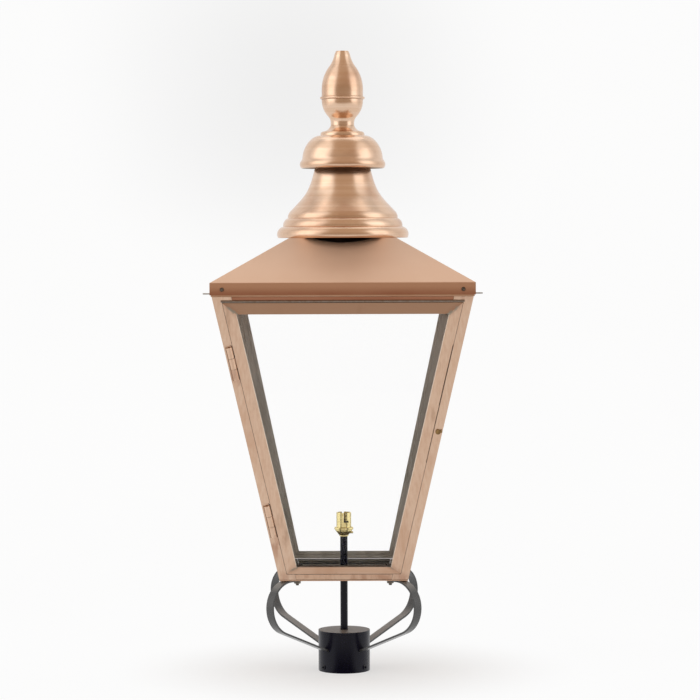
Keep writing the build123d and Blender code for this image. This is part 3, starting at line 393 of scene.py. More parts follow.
def spun_copper(name, tarnish=0.0):
    """Copper turned on a lathe: fine rings round the axis and soft clouds."""
    finish = Finish(name).surface(metallic=1.0)
    x, y, z = finish.parts(finish.place)
    reach = (x * x + y * y) ** 0.5
    across = finish.node("ShaderNodeCombineXYZ", {}, {0: reach, 1: z, 2: 0.0}).outputs[0]
    rings = finish.noise(900, (1, 1, 1), 3, 0.6, vector=across)
    bands = finish.noise(120, (1, 1, 1), 3, 0.5, vector=across)
    clouds = finish.noise(13, (1, 1, 1.4), 3, 0.55, (0.3, 2.2, 4.6))
    tone = copper_tones(finish, rings * 0.5 + bands * 0.5, clouds, SPUN, SPUN_PALE)
    if tarnish:
        tone = finish.blend(clouds.rise(0.35, 0.75) * tarnish, tone, COPPER_WARM)
    nx, ny, nz = finish.parts(finish.facing)
    faces_out = (nx * x + ny * y) / reach.most(0.001)
    # inner faces greyed: painted shade inside the hood, the dome and the other turned pieces
    inside = faces_out.fall(-0.6, -0.4) * nz.fall(0.3, 0.5)
    tone = finish.blend(inside * 0.7, tone, INNER_GREY)
    finish.feed("Base Color", tone)
    finish.feed("Roughness", bands.spread(0.17, 0.23) + clouds * 0.08 + inside * 0.2)
    finish.relief(rings * 0.4 + bands * 0.5, 0.00004, 0.35)
    return finish.material


def black_steel(name, worn, gloss, deep):
    """Black paint on steel over its deep colour, dusty on top and worn in places."""
    finish = Finish(name).surface(
        metallic=0.0, specular_ior_level=gloss, coat_roughness=0.2)
    specks = finish.noise(420, (1, 1, 1), 3, 0.6)
    clouds = finish.noise(30, (1, 1, 1), 4, 0.6, (2.0, 1.0, 0.0))
    nz = finish.parts(finish.facing)[2]
    dust = nz.rise(0.55, 0.95) * clouds.spread(0.5, 1.0)
    tone = finish.blend(clouds.rise(0.5, 0.75) * worn, deep, BLACK_WORN)
    tone = finish.blend(dust * 0.8, tone, DUST)
    finish.feed("Base Color", tone)
    finish.feed("Roughness", specks.spread(0.20, 0.34) + dust * 0.25)
    finish.feed("Coat Weight", (0.3 - dust * 0.3) * gloss)
    finish.relief(specks + clouds * 0.6, 0.00008, 0.4)
    return finish.material


def bare_steel(name, light=STEEL, dark=STEEL_DARK, dirt=0.5):
    """Bare or plated metal with dirt in clouds."""
    finish = Finish(name).surface(metallic=1.0)
    grain = finish.noise(700, (1, 1, 1), 3, 0.6)
    clouds = finish.noise(120, (1, 1, 1), 4, 0.6)
    finish.feed("Base Color", finish.blend(clouds.rise(0.35, 0.7) * dirt, light, dark))
    finish.feed("Roughness", grain.spread(0.32, 0.55))
    finish.relief(grain, 0.00008, 0.5)
    return finish.material


def turned_brass(name):
    """Lacquered brass with fine rings and a few darker clouds."""
    finish = Finish(name).surface(metallic=1.0)
    rings = finish.noise(1400, (0.05, 0.05, 1), 2, 0.5)
    clouds = finish.noise(90, (1, 1, 1), 4, 0.6)
    tone = finish.blend(clouds.rise(0.45, 0.8) * 0.7, BRASS, BRASS_DEEP)
    finish.feed("Base Color", tone)
    finish.feed("Roughness", rings.spread(0.14, 0.30) + clouds * 0.08)
    finish.relief(rings, 0.00005, 0.5)
    return finish.material


def clear_glass():
    """Flat glass, hardly smoked at all."""
    finish = Finish("clear_glass").surface(
        transmission_weight=1.0, ior=1.16, base_color=(1.0, 1.0, 1.0, 1))
    film = finish.noise(9, (1, 1, 0.6), 4, 0.6)
    finish.feed("Roughness", film.spread(0.0, 0.012))
    return finish.material


def dark_insulator():
    """Matt moulded block inside the lampholder."""
    finish = Finish("dark_insulator").surface(metallic=0.0)
    grain = finish.noise(600, (1, 1, 1), 3)
    finish.feed("Base Color", finish.blend(grain, MOULDED, MOULDED_PALE))
    finish.feed("Roughness", grain.spread(0.5, 0.7))
    finish.relief(grain, 0.0001, 0.5)
    return finish.material


def dusty_plate():
    """The bottom plate: copper, with a grey film of dust and flux on top."""
    finish = Finish("dusty_plate").surface()
    clouds = finish.noise(30, (1, 1, 1), 4, 0.6)
    edge_and_under = finish.parts(finish.facing)[2].fall(0.4, 0.6)
    tone = finish.blend(clouds.rise(0.3, 0.7), FLUX, FLUX_PALE)
    finish.feed("Base Color", finish.blend(edge_and_under, tone, COPPER))
    finish.feed("Metallic", edge_and_under * 0.7 + 0.3)
    finish.feed("Roughness", clouds.spread(0.55, 0.75))
    finish.relief(clouds, 0.0002, 0.4)
    return finish.material


def set_finish(piece, material):
    piece.data.materials.clear()
    piece.data.materials.append(material)


# ---------------------------------------------------------------- mesh helpers
def new_piece(name, mesh, material):
    piece = bpy.data.objects.new(name, mesh)
    bpy.context.collection.objects.link(piece)
    set_finish(piece, material)
    return piece


def as_plain_mesh(piece):
    """Turn a piece with live modifiers into a plain mesh."""
    bpy.context.view_layer.update()
    made = bpy.data.meshes.new_from_object(
        piece.evaluated_get(bpy.context.evaluated_depsgraph_get()))
    piece.modifiers.clear()
    piece.data = made
    return piece


def merged_copy(node):
    """The solid's own mesh with its loose triangles joined and its flat faces whole."""
    shape = bmesh.new()
    shape.from_mesh(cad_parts[node].data)
    bmesh.ops.remove_doubles(shape, verts=shape.verts, dist=2e-6)
    bmesh.ops.dissolve_limit(
        shape, angle_limit=radians(0.4), verts=shape.verts, edges=shape.edges,
        use_dissolve_boundaries=False)
    mesh = bpy.data.meshes.new(f"{node}_eased")
    shape.to_mesh(mesh)
    shape.free()
    for attribute in ("custom_normal", "sharp_face", "sharp_edge"):
        if attribute in mesh.attributes:
            mesh.attributes.remove(mesh.attributes[attribute])
    return mesh


def eased(node, material, body, edge=0.35 * MM):
    """The solid with its sharp edges eased, as folding and filing leave them."""
    piece = new_piece(f"{node}_eased", merged_copy(node), material)
    for polygon in piece.data.polygons:
        polygon.use_smooth = True
    bevel = piece.modifiers.new("edges", "BEVEL")
    bevel.limit_method = "ANGLE"
    bevel.angle_limit = radians(35)
    bevel.width = edge
    bevel.segments = 2
    bevel.harden_normals = True
    bevel.use_clamp_overlap = True
    as_plain_mesh(piece)
    set_finish(piece, material)
    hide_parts(node)
    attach(piece, body)
    return piece


def arc(a, b, c, steps=10):
    """Points on the arc from a to c through b, without the first."""
    (ax, ay), (bx, by), (cx, cy) = a, b, c
    d = 2 * (ax * (by - cy) + bx * (cy - ay) + cx * (ay - by))
    ux = ((ax ** 2 + ay ** 2) * (by - cy) + (bx ** 2 + by ** 2) * (cy - ay)
          + (cx ** 2 + cy ** 2) * (ay - by)) / d
    uy = ((ax ** 2 + ay ** 2) * (cx - bx) + (bx ** 2 + by ** 2) * (ax - cx)
          + (cx ** 2 + cy ** 2) * (bx - ax)) / d
    centre = Vector((ux, uy))
    start = Vector(a) - centre
    end = Vector(c) - centre
    middle = Vector(b) - centre
    sweep = start.angle_signed(end, 0.0)
    half = start.angle_signed(middle, 0.0)
    if half * sweep < 0:
        sweep -= 2 * pi * (1 if sweep > 0 else -1)
    made = []
    for step in range(1, steps + 1):
        turned = start.copy()
        turned.rotate(Matrix.Rotation(-sweep * step / steps, 2))
        made.append(tuple(centre + turned))
    return made


def sweep_through(points, steps=8):
    """Smooth curve through the points, without the first."""
    made = []
    ends = [points[0]] + list(points) + [points[-1]]
    for a, b, c, d in zip(ends, ends[1:], ends[2:], ends[3:]):
        for step in range(1, steps + 1):
            t = step / steps
            made.append(tuple(
                0.5 * (2 * q + (r - p) * t + (2 * p - 5 * q + 4 * r - s) * t ** 2
                       + (3 * q - p - 3 * r + s) * t ** 3)
                for p, q, r, s in zip(a, b, c, d)))
    return made


def turned_mesh(name, outline, around=128):
    """Closed shell turned round the axis from an outline of radius and height, in millimetres."""
    shape = bmesh.new()
    rings = []
    for radius, height in outline:
        ring = [
            shape.verts.new((radius * MM * cos(2 * pi * i / around),
                             radius * MM * sin(2 * pi * i / around), height * MM))
            for i in range(around)]
        rings.append(ring)
    for low, high in zip(rings, rings[1:] + rings[:1]):
        for i in range(around):
            j = (i + 1) % around
            shape.faces.new((low[i], low[j], high[j], high[i]))
    bmesh.ops.remove_doubles(shape, verts=shape.verts, dist=1e-6)
    bmesh.ops.recalc_face_normals(shape, faces=shape.faces)
    mesh = bpy.data.meshes.new(name)
    shape.to_mesh(mesh)
    shape.free()
    for polygon in mesh.polygons:
        polygon.use_smooth = True
    mesh.set_sharp_from_angle(angle=radians(38))
    return mesh


def turned(node, outline, material, body="lantern", slot="copper", around=128):
    piece = new_piece(f"{node}_turned", turned_mesh(f"{node}_turned", outline, around), material)
    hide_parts(node)
    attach(piece, body)
    return piece


# ---------------------------------------------------------------- finishes on the solids
steel_black = black_steel("black_steel", 0.10, 0.21, BLACK_PAINT)
steel_strap = black_steel("strap_steel", 0.6, 0.85, STRAP_PAINT)
steel_bare = bare_steel("bare_steel")
steel_dark = bare_steel("dark_steel", (0.22, 0.19, 0.16, 1), (0.06, 0.045, 0.035, 1), 0.8)
brass = turned_brass("turned_brass")
brass_aged = bare_steel("aged_brass", BRASS_AGED, (0.13, 0.075, 0.04, 1), 0.8)
glass = clear_glass()
insulator = dark_insulator()
post_finish = {
    corner: sheet_copper(f"copper_post_{corner}", (out[0] * sqrt(0.5), out[1] * sqrt(0.5)),
                         hinge_heat if corner == "front_left" else foot_heat)
    for corner, out in CORNERS.items()}
frame_finish = {side: frame_copper(side) for side in SIDES}
rail_copper = sheet_copper("copper_rails", None, foot_heat, (0.12, 0.12, 1), 0.25, covered_top_shade=1.0)
# head rails browned and darkened: partly painted shade under the roof's skirt
head_copper = sheet_copper("copper_head_rails", None, head_browning_and_shade, (0.12, 0.12, 1), 0.9)
roof_copper = roof_sheet_copper()
band_copper = sheet_copper("copper_band", None, None, (0.12, 0.12, 1), 0.5)
strip_copper = bare_steel("tinned_strip", (0.30, 0.25, 0.21, 1), (0.20, 0.13, 0.09, 1), 0.7)
bell_copper = spun_copper("copper_spun", 0.35)

for corner in CORNERS:
    eased(f"corner_post_{corner}", post_finish[corner], "lantern")
    eased(f"strap_{corner}", steel_strap, "lantern", 0.6 * MM)
for side in SIDES:
    if side != "front":
        eased(f"frame_{side}", frame_finish[side], "lantern")
        set_finish(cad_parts[f"glass_{side}"], glass)
        eased(f"bead_{side}", frame_finish[side], "lantern", 0.3 * MM)
eased("door_frame", frame_finish["front"], "door")
eased("door_bead", frame_finish["front"], "door", 0.3 * MM)
set_finish(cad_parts["door_glass"], glass)
eased("bottom_rails", rail_copper, "lantern")
eased("head_rails", head_copper, "lantern")
eased("top_frame", band_copper, "lantern")
eased("roof_shell", roof_copper, "lantern", 0.6 * MM)
eased("drip_strip", strip_copper, "lantern", 0.3 * MM)
eased("base_plate", dusty_plate(), "lantern")
for node, finish, body, slot in (
    ("hinge_post_leaves", post_finish["front_left"], "lantern", "copper"),
    ("hinge_door_leaves", frame_finish["front"], "door", "copper"),
    ("hinge_pins", brass_aged, "lantern", "brass"),
    ("latch_lever", brass_aged, "latch", "brass"),
    ("latch_tongue", brass_aged, "latch", "brass"),
    ("vent_bar", steel_bare, "lantern", "copper"),
):
    eased(node, finish, body, 0.3 * MM)
for node, finish in (
    ("socket_sleeve", steel_black), ("socket_cap", steel_black), ("stem_tube", steel_black),
    ("roof_pins", steel_bare), ("tie_rod", steel_bare),
    ("holder_cone", brass), ("holder_ring", brass), ("holder_barrel", brass),
    ("holder_grip_screw", brass), ("holder_insulator", insulator),
    ("contact_plunger_left", brass), ("contact_plunger_right", brass),
):
    set_finish(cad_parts[node], finish)

# ---------------------------------------------------------------- fasteners, each set by a rule
SLOT_TURN = 0.6  # of a screw's slot, in radians


class Rule:
    """A node tree that makes a fastener and sets it at every given place."""

    def __init__(self, name, sizes):
        self.tree = bpy.data.node_groups.new(name, "GeometryNodeTree")
        face = self.tree.interface
        face.new_socket("Geometry", in_out="OUTPUT", socket_type="NodeSocketGeometry")
        face.new_socket("Places", in_out="INPUT", socket_type="NodeSocketGeometry")
        self.sockets = {"Finish": face.new_socket(
            "Finish", in_out="INPUT", socket_type="NodeSocketMaterial").identifier}
        for key, kind in sizes.items():
            made = face.new_socket(key, in_out="INPUT", socket_type=f"NodeSocket{kind}")
            self.sockets[key] = made.identifier
        self.given = self.tree.nodes.new("NodeGroupInput")

    def node(self, kind, settings=None, **sockets):
        """A node of this kind; a list joins several links into one socket."""
        made = self.tree.nodes.new(kind)
        for key, value in (settings or {}).items():
            setattr(made, key, value)
        for key, value in sockets.items():
            target = made.inputs[key.replace("_", " ")]
            for one in value if isinstance(value, list) else [value]:
                if isinstance(one, bpy.types.NodeSocket):
                    self.tree.links.new(one, target)
                else:
                    target.default_value = one
        return made

    def size(self, name):
        return self.given.outputs[name]

    def maths(self, a, operation, b):
        made = self.tree.nodes.new("ShaderNodeMath")
        made.operation = operation
        for socket, value in zip(made.inputs, (a, b)):
            if isinstance(value, bpy.types.NodeSocket):
                self.tree.links.new(value, socket)
            else:
                socket.default_value = value
        return made.outputs[0]

    def upwards(self, height):
        return self.node("ShaderNodeCombineXYZ", Z=height).outputs[0]

    def moved(self, shape, height):
        return self.node("GeometryNodeTransform", Geometry=shape,
                         Translation=self.upwards(height)).outputs[0]

    def bar(self, sides, radius, height):
        """Prism or round bar, centred on the origin."""
        made = self.node("GeometryNodeMeshCylinder", Vertices=sides, Radius=radius, Depth=height)
        return made.outputs["Mesh"]

    def hexagon(self, half_width, height):
        """Hexagonal prism, its corners cut back at thirty degrees at both ends."""
        corner = self.maths(half_width, "DIVIDE", cos(radians(30)))
        flat_radius = self.maths(half_width, "MULTIPLY", 0.95)
        reach = self.maths(flat_radius, "ADD", self.maths(height, "MULTIPLY", 1.7))
        shapes = [self.bar(6, corner, height)]
        for top, bottom in ((flat_radius, reach), (reach, flat_radius)):
            cone = self.node("GeometryNodeMeshCone", Vertices=64, Radius_Top=top,
                             Radius_Bottom=bottom, Depth=height)
            shapes.append(self.moved(cone.outputs["Mesh"], self.maths(height, "MULTIPLY", -0.5)))
        return self.node("GeometryNodeMeshBoolean", {"operation": "INTERSECT", "solver": "EXACT"},
                         Mesh_2=shapes).outputs[0]

    def standing(self, shape, height):
        """A centred shape of this height, set on height 0."""
        return self.moved(shape, self.maths(height, "MULTIPLY", 0.5))

    def less(self, shape, cutter):
        return self.node("GeometryNodeMeshBoolean", {"operation": "DIFFERENCE", "solver": "EXACT"},
                         Mesh_1=shape, Mesh_2=cutter).outputs[0]

    def end(self, shape):
        """Set the fastener at each place, its axis along the place's own outward direction."""
        axis = self.node("GeometryNodeInputNamedAttribute", {"data_type": "FLOAT_VECTOR"},
                         Name="outward").outputs[0]
        turn = self.node("FunctionNodeAlignRotationToVector", {"axis": "Z"}, Vector=axis)
        spread = self.node("GeometryNodeInstanceOnPoints", Points=self.size("Places"),
                           Instance=shape, Rotation=turn.outputs[0]).outputs[0]
        real = self.node("GeometryNodeRealizeInstances", Geometry=spread).outputs[0]
        coated = self.node("GeometryNodeSetMaterial", Geometry=real,
                           Material=self.size("Finish")).outputs[0]
        self.node("NodeGroupOutput", Geometry=coated)
        return self


def hex_nut_rule():
    rule = Rule("hex_nut", {"Half Width": "Float", "Height": "Float", "Bore": "Float"})
    height = rule.size("Height")
    drill = rule.bar(40, rule.size("Bore"), rule.maths(height, "MULTIPLY", 1.5))
    nut = rule.less(rule.hexagon(rule.size("Half Width"), height), drill)
    return rule.end(rule.standing(nut, height))


def hex_bolt_rule():
    rule = Rule("hex_bolt", {"Half Width": "Float", "Head": "Float", "Shank": "Float",
                             "Length": "Float", "Pitch": "Float", "Turns": "Float"})
    head, length, pitch = rule.size("Head"), rule.size("Length"), rule.size("Pitch")
    top = rule.standing(rule.hexagon(rule.size("Half Width"), head), head)
    root = rule.maths(rule.size("Shank"), "SUBTRACT", rule.maths(pitch, "MULTIPLY", 0.4))
    down = rule.maths(length, "MULTIPLY", -1.0)
    core = rule.moved(rule.standing(rule.bar(40, root, length), length), down)
    coil = rule.node("GeometryNodeCurveSpiral", Resolution=40, Rotations=rule.size("Turns"),
                     Start_Radius=root, End_Radius=root,
                     Height=rule.maths(rule.size("Turns"), "MULTIPLY", pitch))
    ridge = rule.node("GeometryNodeCurvePrimitiveCircle", Resolution=4,
                      Radius=rule.maths(pitch, "MULTIPLY", 0.38))
    thread = rule.node("GeometryNodeCurveToMesh", Curve=coil.outputs[0],
                       Profile_Curve=ridge.outputs[0], Fill_Caps=True).outputs[0]
    thread = rule.moved(thread, rule.maths(down, "ADD", rule.maths(pitch, "MULTIPLY", 0.5)))
    joined = rule.node("GeometryNodeJoinGeometry", Geometry=[thread, core, top]).outputs[0]
    return rule.end(joined)


def slotted_screw_rule():
    rule = Rule("slotted_screw", {"Head Radius": "Float", "Head": "Float", "Shank": "Float",
                                  "Length": "Float", "Slot": "Float"})
    head, wide, length = rule.size("Head"), rule.size("Head Radius"), rule.size("Length")
    disc = rule.node("GeometryNodeMeshCone", Vertices=48, Radius_Bottom=wide, Depth=head,
                     Radius_Top=rule.maths(wide, "SUBTRACT", rule.maths(head, "MULTIPLY", 0.47)))
    size = rule.node("ShaderNodeCombineXYZ", X=rule.maths(wide, "MULTIPLY", 2.4),
                     Y=rule.size("Slot"), Z=head).outputs[0]
    blade = rule.node("GeometryNodeMeshCube", Size=size).outputs["Mesh"]
    blade = rule.node("GeometryNodeTransform", Geometry=blade, Rotation=(0, 0, SLOT_TURN),
                      Translation=rule.upwards(rule.maths(head, "MULTIPLY", 1.05))).outputs[0]
    cap = rule.less(disc.outputs["Mesh"], blade)
    shank = rule.standing(rule.bar(32, rule.size("Shank"), length), length)
    shank = rule.moved(shank, rule.maths(length, "MULTIPLY", -1.0))
    return rule.end(rule.node("GeometryNodeJoinGeometry", Geometry=[shank, cap]).outputs[0])


def by_rule(node, rule, places, sizes, material):
    """Replace the solid with what the rule makes at the places, each a point and a direction.

    Points and sizes are in millimetres, Turns is a count.
    """
    mesh = bpy.data.meshes.new(f"{node}_places")
    mesh.from_pydata([Vector(spot) * MM for spot, direction in places], [], [])
    outward = mesh.attributes.new("outward", "FLOAT_VECTOR", "POINT")
    for entry, (spot, direction) in zip(outward.data, places):
        entry.vector = direction
    piece = bpy.data.objects.new(f"{node}_set", mesh)
    bpy.context.collection.objects.link(piece)
    maker = piece.modifiers.new("rule", "NODES")
    maker.node_group = rule.tree
    maker[rule.sockets["Finish"]] = material
    for key, value in sizes.items():
        maker[rule.sockets[key]] = value * MM if key != "Turns" else value
    as_plain_mesh(piece)
    set_finish(piece, material)
    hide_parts(node)
    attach(piece, "lantern")


UP = (0, 0, 1)
BOLT_REACH = 79  # each strap bolt from the axis, in x and in y
NUT_BOTTOM, PLATE_TOP, UNDER_PLATE_NUT = 160.2, 170.3, 163.7
SCREW_REACH, SCREW_OUT, SCREW_HEIGHT = 198.0, 218.5, 662.0  # the skirt's screws
VENT_REACH, VENT_SEAT = 68.0, 746.8
TIE_NUTS = (736.4, 745.0, 949.3)
bolt_spots = [(x * BOLT_REACH, y * BOLT_REACH) for x in (-1, 1) for y in (-1, 1)]

hex_nut, hex_bolt, slotted_screw = hex_nut_rule(), hex_bolt_rule(), slotted_screw_rule()
by_rule("strap_nuts", hex_nut, [((x, y, NUT_BOTTOM), UP) for x, y in bolt_spots],
        {"Half Width": 5.0, "Height": 4.0, "Bore": 2.98}, steel_dark)
by_rule("strap_bolts", hex_bolt, [((x, y, PLATE_TOP), UP) for x, y in bolt_spots],
        {"Half Width": 5.0, "Head": 4.0, "Shank": 2.9, "Length": 13.1, "Pitch": 1.0, "Turns": 12.0},
        steel_dark)
by_rule("stem_locknuts", hex_nut, [((0, 0, z), UP) for z in (UNDER_PLATE_NUT, PLATE_TOP)],
        {"Half Width": 9.5, "Height": 4.0, "Bore": 6.43}, steel_black)
by_rule("tie_rod_nuts", hex_nut, [((0, 0, z), UP) for z in TIE_NUTS],
        {"Half Width": 6.5, "Height": 5.0, "Bore": 4.08}, steel_bare)
by_rule("roof_screws", slotted_screw,
        [((x * SCREW_REACH, y * SCREW_OUT, SCREW_HEIGHT), (0, y, 0))
         for x in (-1, 1) for y in (-1, 1)],
        {"Head Radius": 3.5, "Head": 1.75, "Shank": 1.7, "Length": 7.6, "Slot": 1.0},
        steel_dark)
by_rule("vent_screws", slotted_screw, [((x * VENT_REACH, 0, VENT_SEAT), UP) for x in (-1, 1)],
        {"Head Radius": 4.0, "Head": 2.2, "Shank": 2.0, "Length": 6.0, "Slot": 1.1},
        steel_dark)
for number, place in enumerate(("left", "right", "rear"), start=1):
    eased(f"set_screw_{number}", steel_black, f"set_screw_{place}", 0.3 * MM)

# ---------------------------------------------------------------- turned pieces on the roof
WALL = 1.5
ROD_HOLE = 4.4


def across(inner, outer, bottom, height):
    """Point from its share of the way between two radii and its share of the height."""
    return lambda out, up: (inner + out * (outer - inner), bottom + up * height)


HOOD, HOOD_HEIGHT, RIM, NECK = 746.8, 119.5, 111.3, 47.6
hood = across(NECK, RIM, HOOD, HOOD_HEIGHT)
hood_neck_top = 916.4
turned("hood_bell", (
    [hood(1, 0)] + arc(hood(1, 0), hood(1.027, 0.056), hood(0.932, 0.146), 14)
    + [hood(0.863, 0.164)] + arc(hood(0.863, 0.164), hood(0.852, 0.218), hood(0.78, 0.27), 12)
    + [hood(0.735, 0.283)] + arc(hood(0.735, 0.283), hood(0.727, 0.33), hood(0.684, 0.372), 12)
    + sweep_through((hood(0.684, 0.372), hood(0.312, 0.59), hood(0.133, 0.763), hood(0, 1)), 12)
    + [(NECK, hood_neck_top), (NECK - WALL, hood_neck_top), (NECK - WALL, HOOD + HOOD_HEIGHT)]
    + arc((NECK - WALL, HOOD + HOOD_HEIGHT), hood(0.239, 0.59), hood(0.639, 0.347), 14)
    + [hood(0.815, 0.172), (RIM - WALL, HOOD + 0.067 * HOOD_HEIGHT), (RIM - WALL, HOOD)]),
    bell_copper, around=192)

DOME, DOME_RIM = 866.3, 70.9
dome = across(0, DOME_RIM, DOME, 55.4)
turned("dome_cap", (
    [dome(1, 0)] + arc(dome(1, 0), dome(1.037, 0.118), dome(1, 0.236), 14)
    + [dome(0.975, 0.301)] + arc(dome(0.975, 0.301), dome(0.93, 0.578), dome(0.791, 0.857), 16)
    + arc(dome(0.791, 0.857), dome(0.711, 0.942), dome(0.605, 1), 8)
    + [(ROD_HOLE, DOME + 55.4), (ROD_HOLE, DOME + 50.4), (NECK + 0.9, DOME + 50.4),
       dome(0.831, 0.722), dome(0.95, 0.29), (DOME_RIM - WALL, DOME)]),
    bell_copper, around=160)

COLLAR, WAIST = 922.0, 20.2
collar = across(WAIST, 37.8, COLLAR, 16.7)
turned("finial_collar", (
    [collar(1, 0), collar(1, 0.132)]
    + arc(collar(1, 0.132), collar(0.932, 0.323), collar(0.716, 0.431), 8)
    + arc(collar(0.716, 0.431), collar(0.25, 0.659), collar(0.023, 1), 10)
    + [(ROD_HOLE, COLLAR + 16.7), (ROD_HOLE, COLLAR)]),
    bell_copper)

FINIAL, BULB = 939.0, 35.5
low_half = across(WAIST, BULB, FINIAL, 44.8)
turned("finial_lower", (
    [low_half(0, 0), low_half(0, 0.11)]
    + arc(low_half(0, 0.11), low_half(0.092, 0.257), low_half(0.314, 0.366), 10)
    + arc(low_half(0.314, 0.366), low_half(0.758, 0.592), low_half(1, 1), 14)
    + [(BULB - 2 * WALL, FINIAL + 44.8), (WAIST - 2 * WALL, FINIAL + 10.0),
       (ROD_HOLE, FINIAL + 10.0), (ROD_HOLE, FINIAL)]),
    bell_copper)
RING = 984.1
turned("finial_ring", (
    [(BULB - 2 * WALL, RING), (36.15, RING)]
    + arc((36.15, RING), (38.5, RING + 2.35), (36.15, RING + 4.7), 10)
    + [(BULB - 2 * WALL, RING + 4.7)]),
    bell_copper)
UPPER, TIP = 989.1, 10.8
high_half = across(TIP, BULB, UPPER, 77.7)
turned("finial_upper", (
    [high_half(1, 0), high_half(1, 0.12)]
    + arc(high_half(1, 0.12), high_half(0.919, 0.366), high_half(0.543, 0.633), 16)
    + arc(high_half(0.543, 0.633), high_half(0.275, 0.766), high_half(0.121, 0.9), 12)
    + [high_half(0.085, 0.943), high_half(0, 1), (0.0, UPPER + 77.7), (0.0, UPPER + 69.93),
       high_half(-0.12, 0.9), (BULB - 2 * WALL, UPPER + 14.76), (BULB - 2 * WALL, UPPER)]),
    bell_copper)

# ---------------------------------------------------------------- studio
scene = bpy.context.scene
scene.view_settings.view_transform = "Standard"
PAPER = 0.82
STAGE_FRONT, STAGE_HALF, STAGE_TOP = -3.2, 3.4, 3.6
SWEEP_START, SWEEP_RADIUS = 0.9, 0.9


def studio_paper():
    """Pale paper: it keeps a shadow, and is a steady white to gloss and through glass."""
    finish = Finish("studio_paper")
    paths = finish.node("ShaderNodeLightPath", {}, {})
    camera = Signal(finish, paths.outputs["Is Camera Ray"])
    through = Signal(finish, paths.outputs["Is Transmission Ray"])
    glossy = Signal(finish, paths.outputs["Is Glossy Ray"]) * (1 - through)
    finish.place = finish.node("ShaderNodeTexCoord", {}, {}).outputs["Object"]
    x, y, z = finish.parts(finish.place)
    # painted shading of soft folds, and a slightly greyer painted patch high up behind the finial
    seen = finish.noise(1.6, (1, 1, 1.5), 3, 0.5).spread(0.975, 0.992)
    patch_x, patch_z, patch_reach = -0.12, 1.12, 0.62
    patch = ((x - patch_x) * (x - patch_x) + (z - patch_z) * (z - patch_z)) ** 0.5
    seen = seen - patch.fall(0.0, patch_reach) * z.rise(0.5, 0.9) * 0.115
    seen = seen * (1 - through) + through * 0.985
    # the camera's own side is dark to gloss close in front of the post socket
    near = (x * x + y * y) ** 0.5
    ahead = (0.0 - y) / near.most(0.01)
    near_front = ahead.rise(0.70, 0.92) * near.fall(0.20, 0.33) * z.fall(0.0, 0.05)
    seen = seen * (1 - glossy) + glossy * (0.90 - near_front * 0.85)
    paper = finish.node("ShaderNodeBsdfDiffuse", {}, {"Color": (PAPER, PAPER, PAPER, 1)})
    glow = finish.node("ShaderNodeEmission", {}, {"Color": (1, 1, 1, 1), "Strength": seen})
    # nearly half of the shadow shows round the socket's foot, and less of it further out
    lifted = (z.rise(0.0, 0.25) + near.rise(0.06, 0.42)).least(1.0)
    share = (camera.most(through) * lifted.spread(0.56, 0.97)).most(glossy)
    mixed = finish.node("ShaderNodeMixShader", {}, {0: share, 1: paper.outputs[0], 2: glow.outputs[0]})
    # seen from behind or from below, the sweep lets everything through
    behind = finish.node("ShaderNodeNewGeometry", {}, {}).outputs["Backfacing"]
    open_air = finish.node("ShaderNodeBsdfTransparent", {}, {})
    mixed = finish.node("ShaderNodeMixShader", {}, {
        0: behind, 1: mixed.outputs[0], 2: open_air.outputs[0]})
    finish.node("ShaderNodeOutputMaterial", {}, {"Surface": mixed.outputs[0]})
    return finish.material


def add_stage():
    """Floor that sweeps up into the backdrop behind the lantern."""
    profile = [(STAGE_FRONT, 0.0), (SWEEP_START, 0.0)]
    for step in range(1, 13):
        turn = radians(90 * step / 12)
        profile.append((SWEEP_START + SWEEP_RADIUS * sin(turn), SWEEP_RADIUS * (1 - cos(turn))))
    profile.append((SWEEP_START + SWEEP_RADIUS, STAGE_TOP))
    verts = []
    faces = []
    for index, (y, z) in enumerate(profile):
        verts += [(-STAGE_HALF, y, z), (STAGE_HALF, y, z)]
        if index:
            faces.append((2 * index - 2, 2 * index - 1, 2 * index + 1, 2 * index))
    mesh = bpy.data.meshes.new("floor_sweep")
    mesh.from_pydata(verts, [], faces)
    for polygon in mesh.polygons:
        polygon.use_smooth = True
    new_piece("floor_sweep", mesh, studio_paper())


add_stage()


def add_lamp(name, place, aim, width, height, watts):
    data = bpy.data.lights.new(name, "AREA")
    data.shape = "RECTANGLE"
    data.size = width
    data.size_y = height
    data.energy = watts
    lamp = bpy.data.objects.new(name, data)
    lamp.location = place
    lamp.rotation_euler = (Vector(aim) - Vector(place)).to_track_quat("-Z", "Y").to_euler()
    bpy.context.collection.objects.link(lamp)


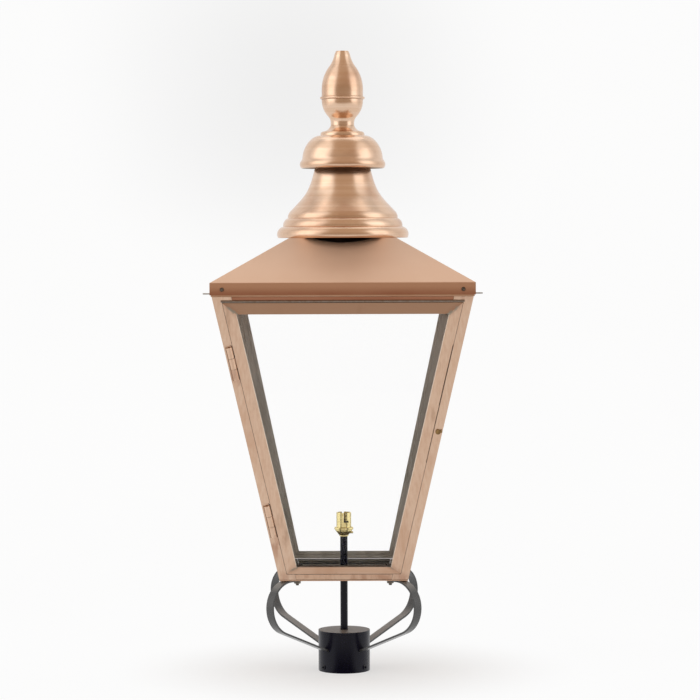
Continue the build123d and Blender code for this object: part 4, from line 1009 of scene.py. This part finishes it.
add_lamp("key_left", (-3.0, -1.2, 1.9), (0, 0, 0.65), 2.4, 2.6, 9)
add_lamp("fill_right", (3.0, -1.2, 1.7), (0, 0, 0.6), 2.2, 2.4, 7)
add_lamp("top_soft", (0.0, 0.8, 3.2), (0, 0, 0.6), 2.6, 1.6, 9)

world = bpy.data.worlds.new("studio_air")
scene.world = world
world.use_nodes = True
air = Finish("studio_air", world.node_tree)
direction = air.node("ShaderNodeTexCoord", {}, {}).outputs["Generated"]
dx, dy, dz = air.parts(direction)
light_path = air.node("ShaderNodeLightPath", {}, {})
seen_by_camera = Signal(air, light_path.outputs["Is Camera Ray"])
# Tall pale panels at both sides, closer together overhead, with a dim warm strip between them
# from the camera upwards, as a dark studio behind the camera gives.
sideways = abs(dx - 0.07) - 0.71 + dz.most(0.0) * 0.34
panels = sideways.rise(-0.07, 0.09) * dy.fall(-0.10, 0.45)
dark_side = dy.fall(-0.25, 0.30) * (1 - panels)
level = 0.64 + dz.fall(0.3, 0.8) * 0.10
level = level * (1 - panels) + panels * (1.16 - dx * 0.06)
level = level * (1 - dark_side) + dark_side * (0.45 + dz.rise(0.02, 0.5) * 0.13)
level = level * (1 - seen_by_camera) + seen_by_camera * 0.98
tint = air.blend(dark_side * (1 - seen_by_camera), (1, 1, 1, 1), (1.0, 0.80, 0.62, 1))
backing = air.node("ShaderNodeBackground", {}, {"Color": tint, "Strength": level})
air.node("ShaderNodeOutputWorld", {}, {"Surface": backing.outputs[0]})

PICTURE, LENS = 700, 2614  # both in pixels
SENSOR = 36.0
CAMERA_PLACE = (0.0117, -4.5, 0.7378)
CAMERA_DIP, CAMERA_ROLL = 0.0409, -0.0033  # radians
camera_data = bpy.data.cameras.new("camera")
camera_data.sensor_width = SENSOR
camera_data.lens = LENS / PICTURE * SENSOR
camera_data.clip_end = 50.0
camera = bpy.data.objects.new("camera", camera_data)
camera.matrix_world = (
    Matrix.Translation(CAMERA_PLACE)
    @ Matrix.Rotation(pi / 2 - CAMERA_DIP, 4, "X")
    @ Matrix.Rotation(CAMERA_ROLL, 4, "Z"))
bpy.context.collection.objects.link(camera)
scene.camera = camera
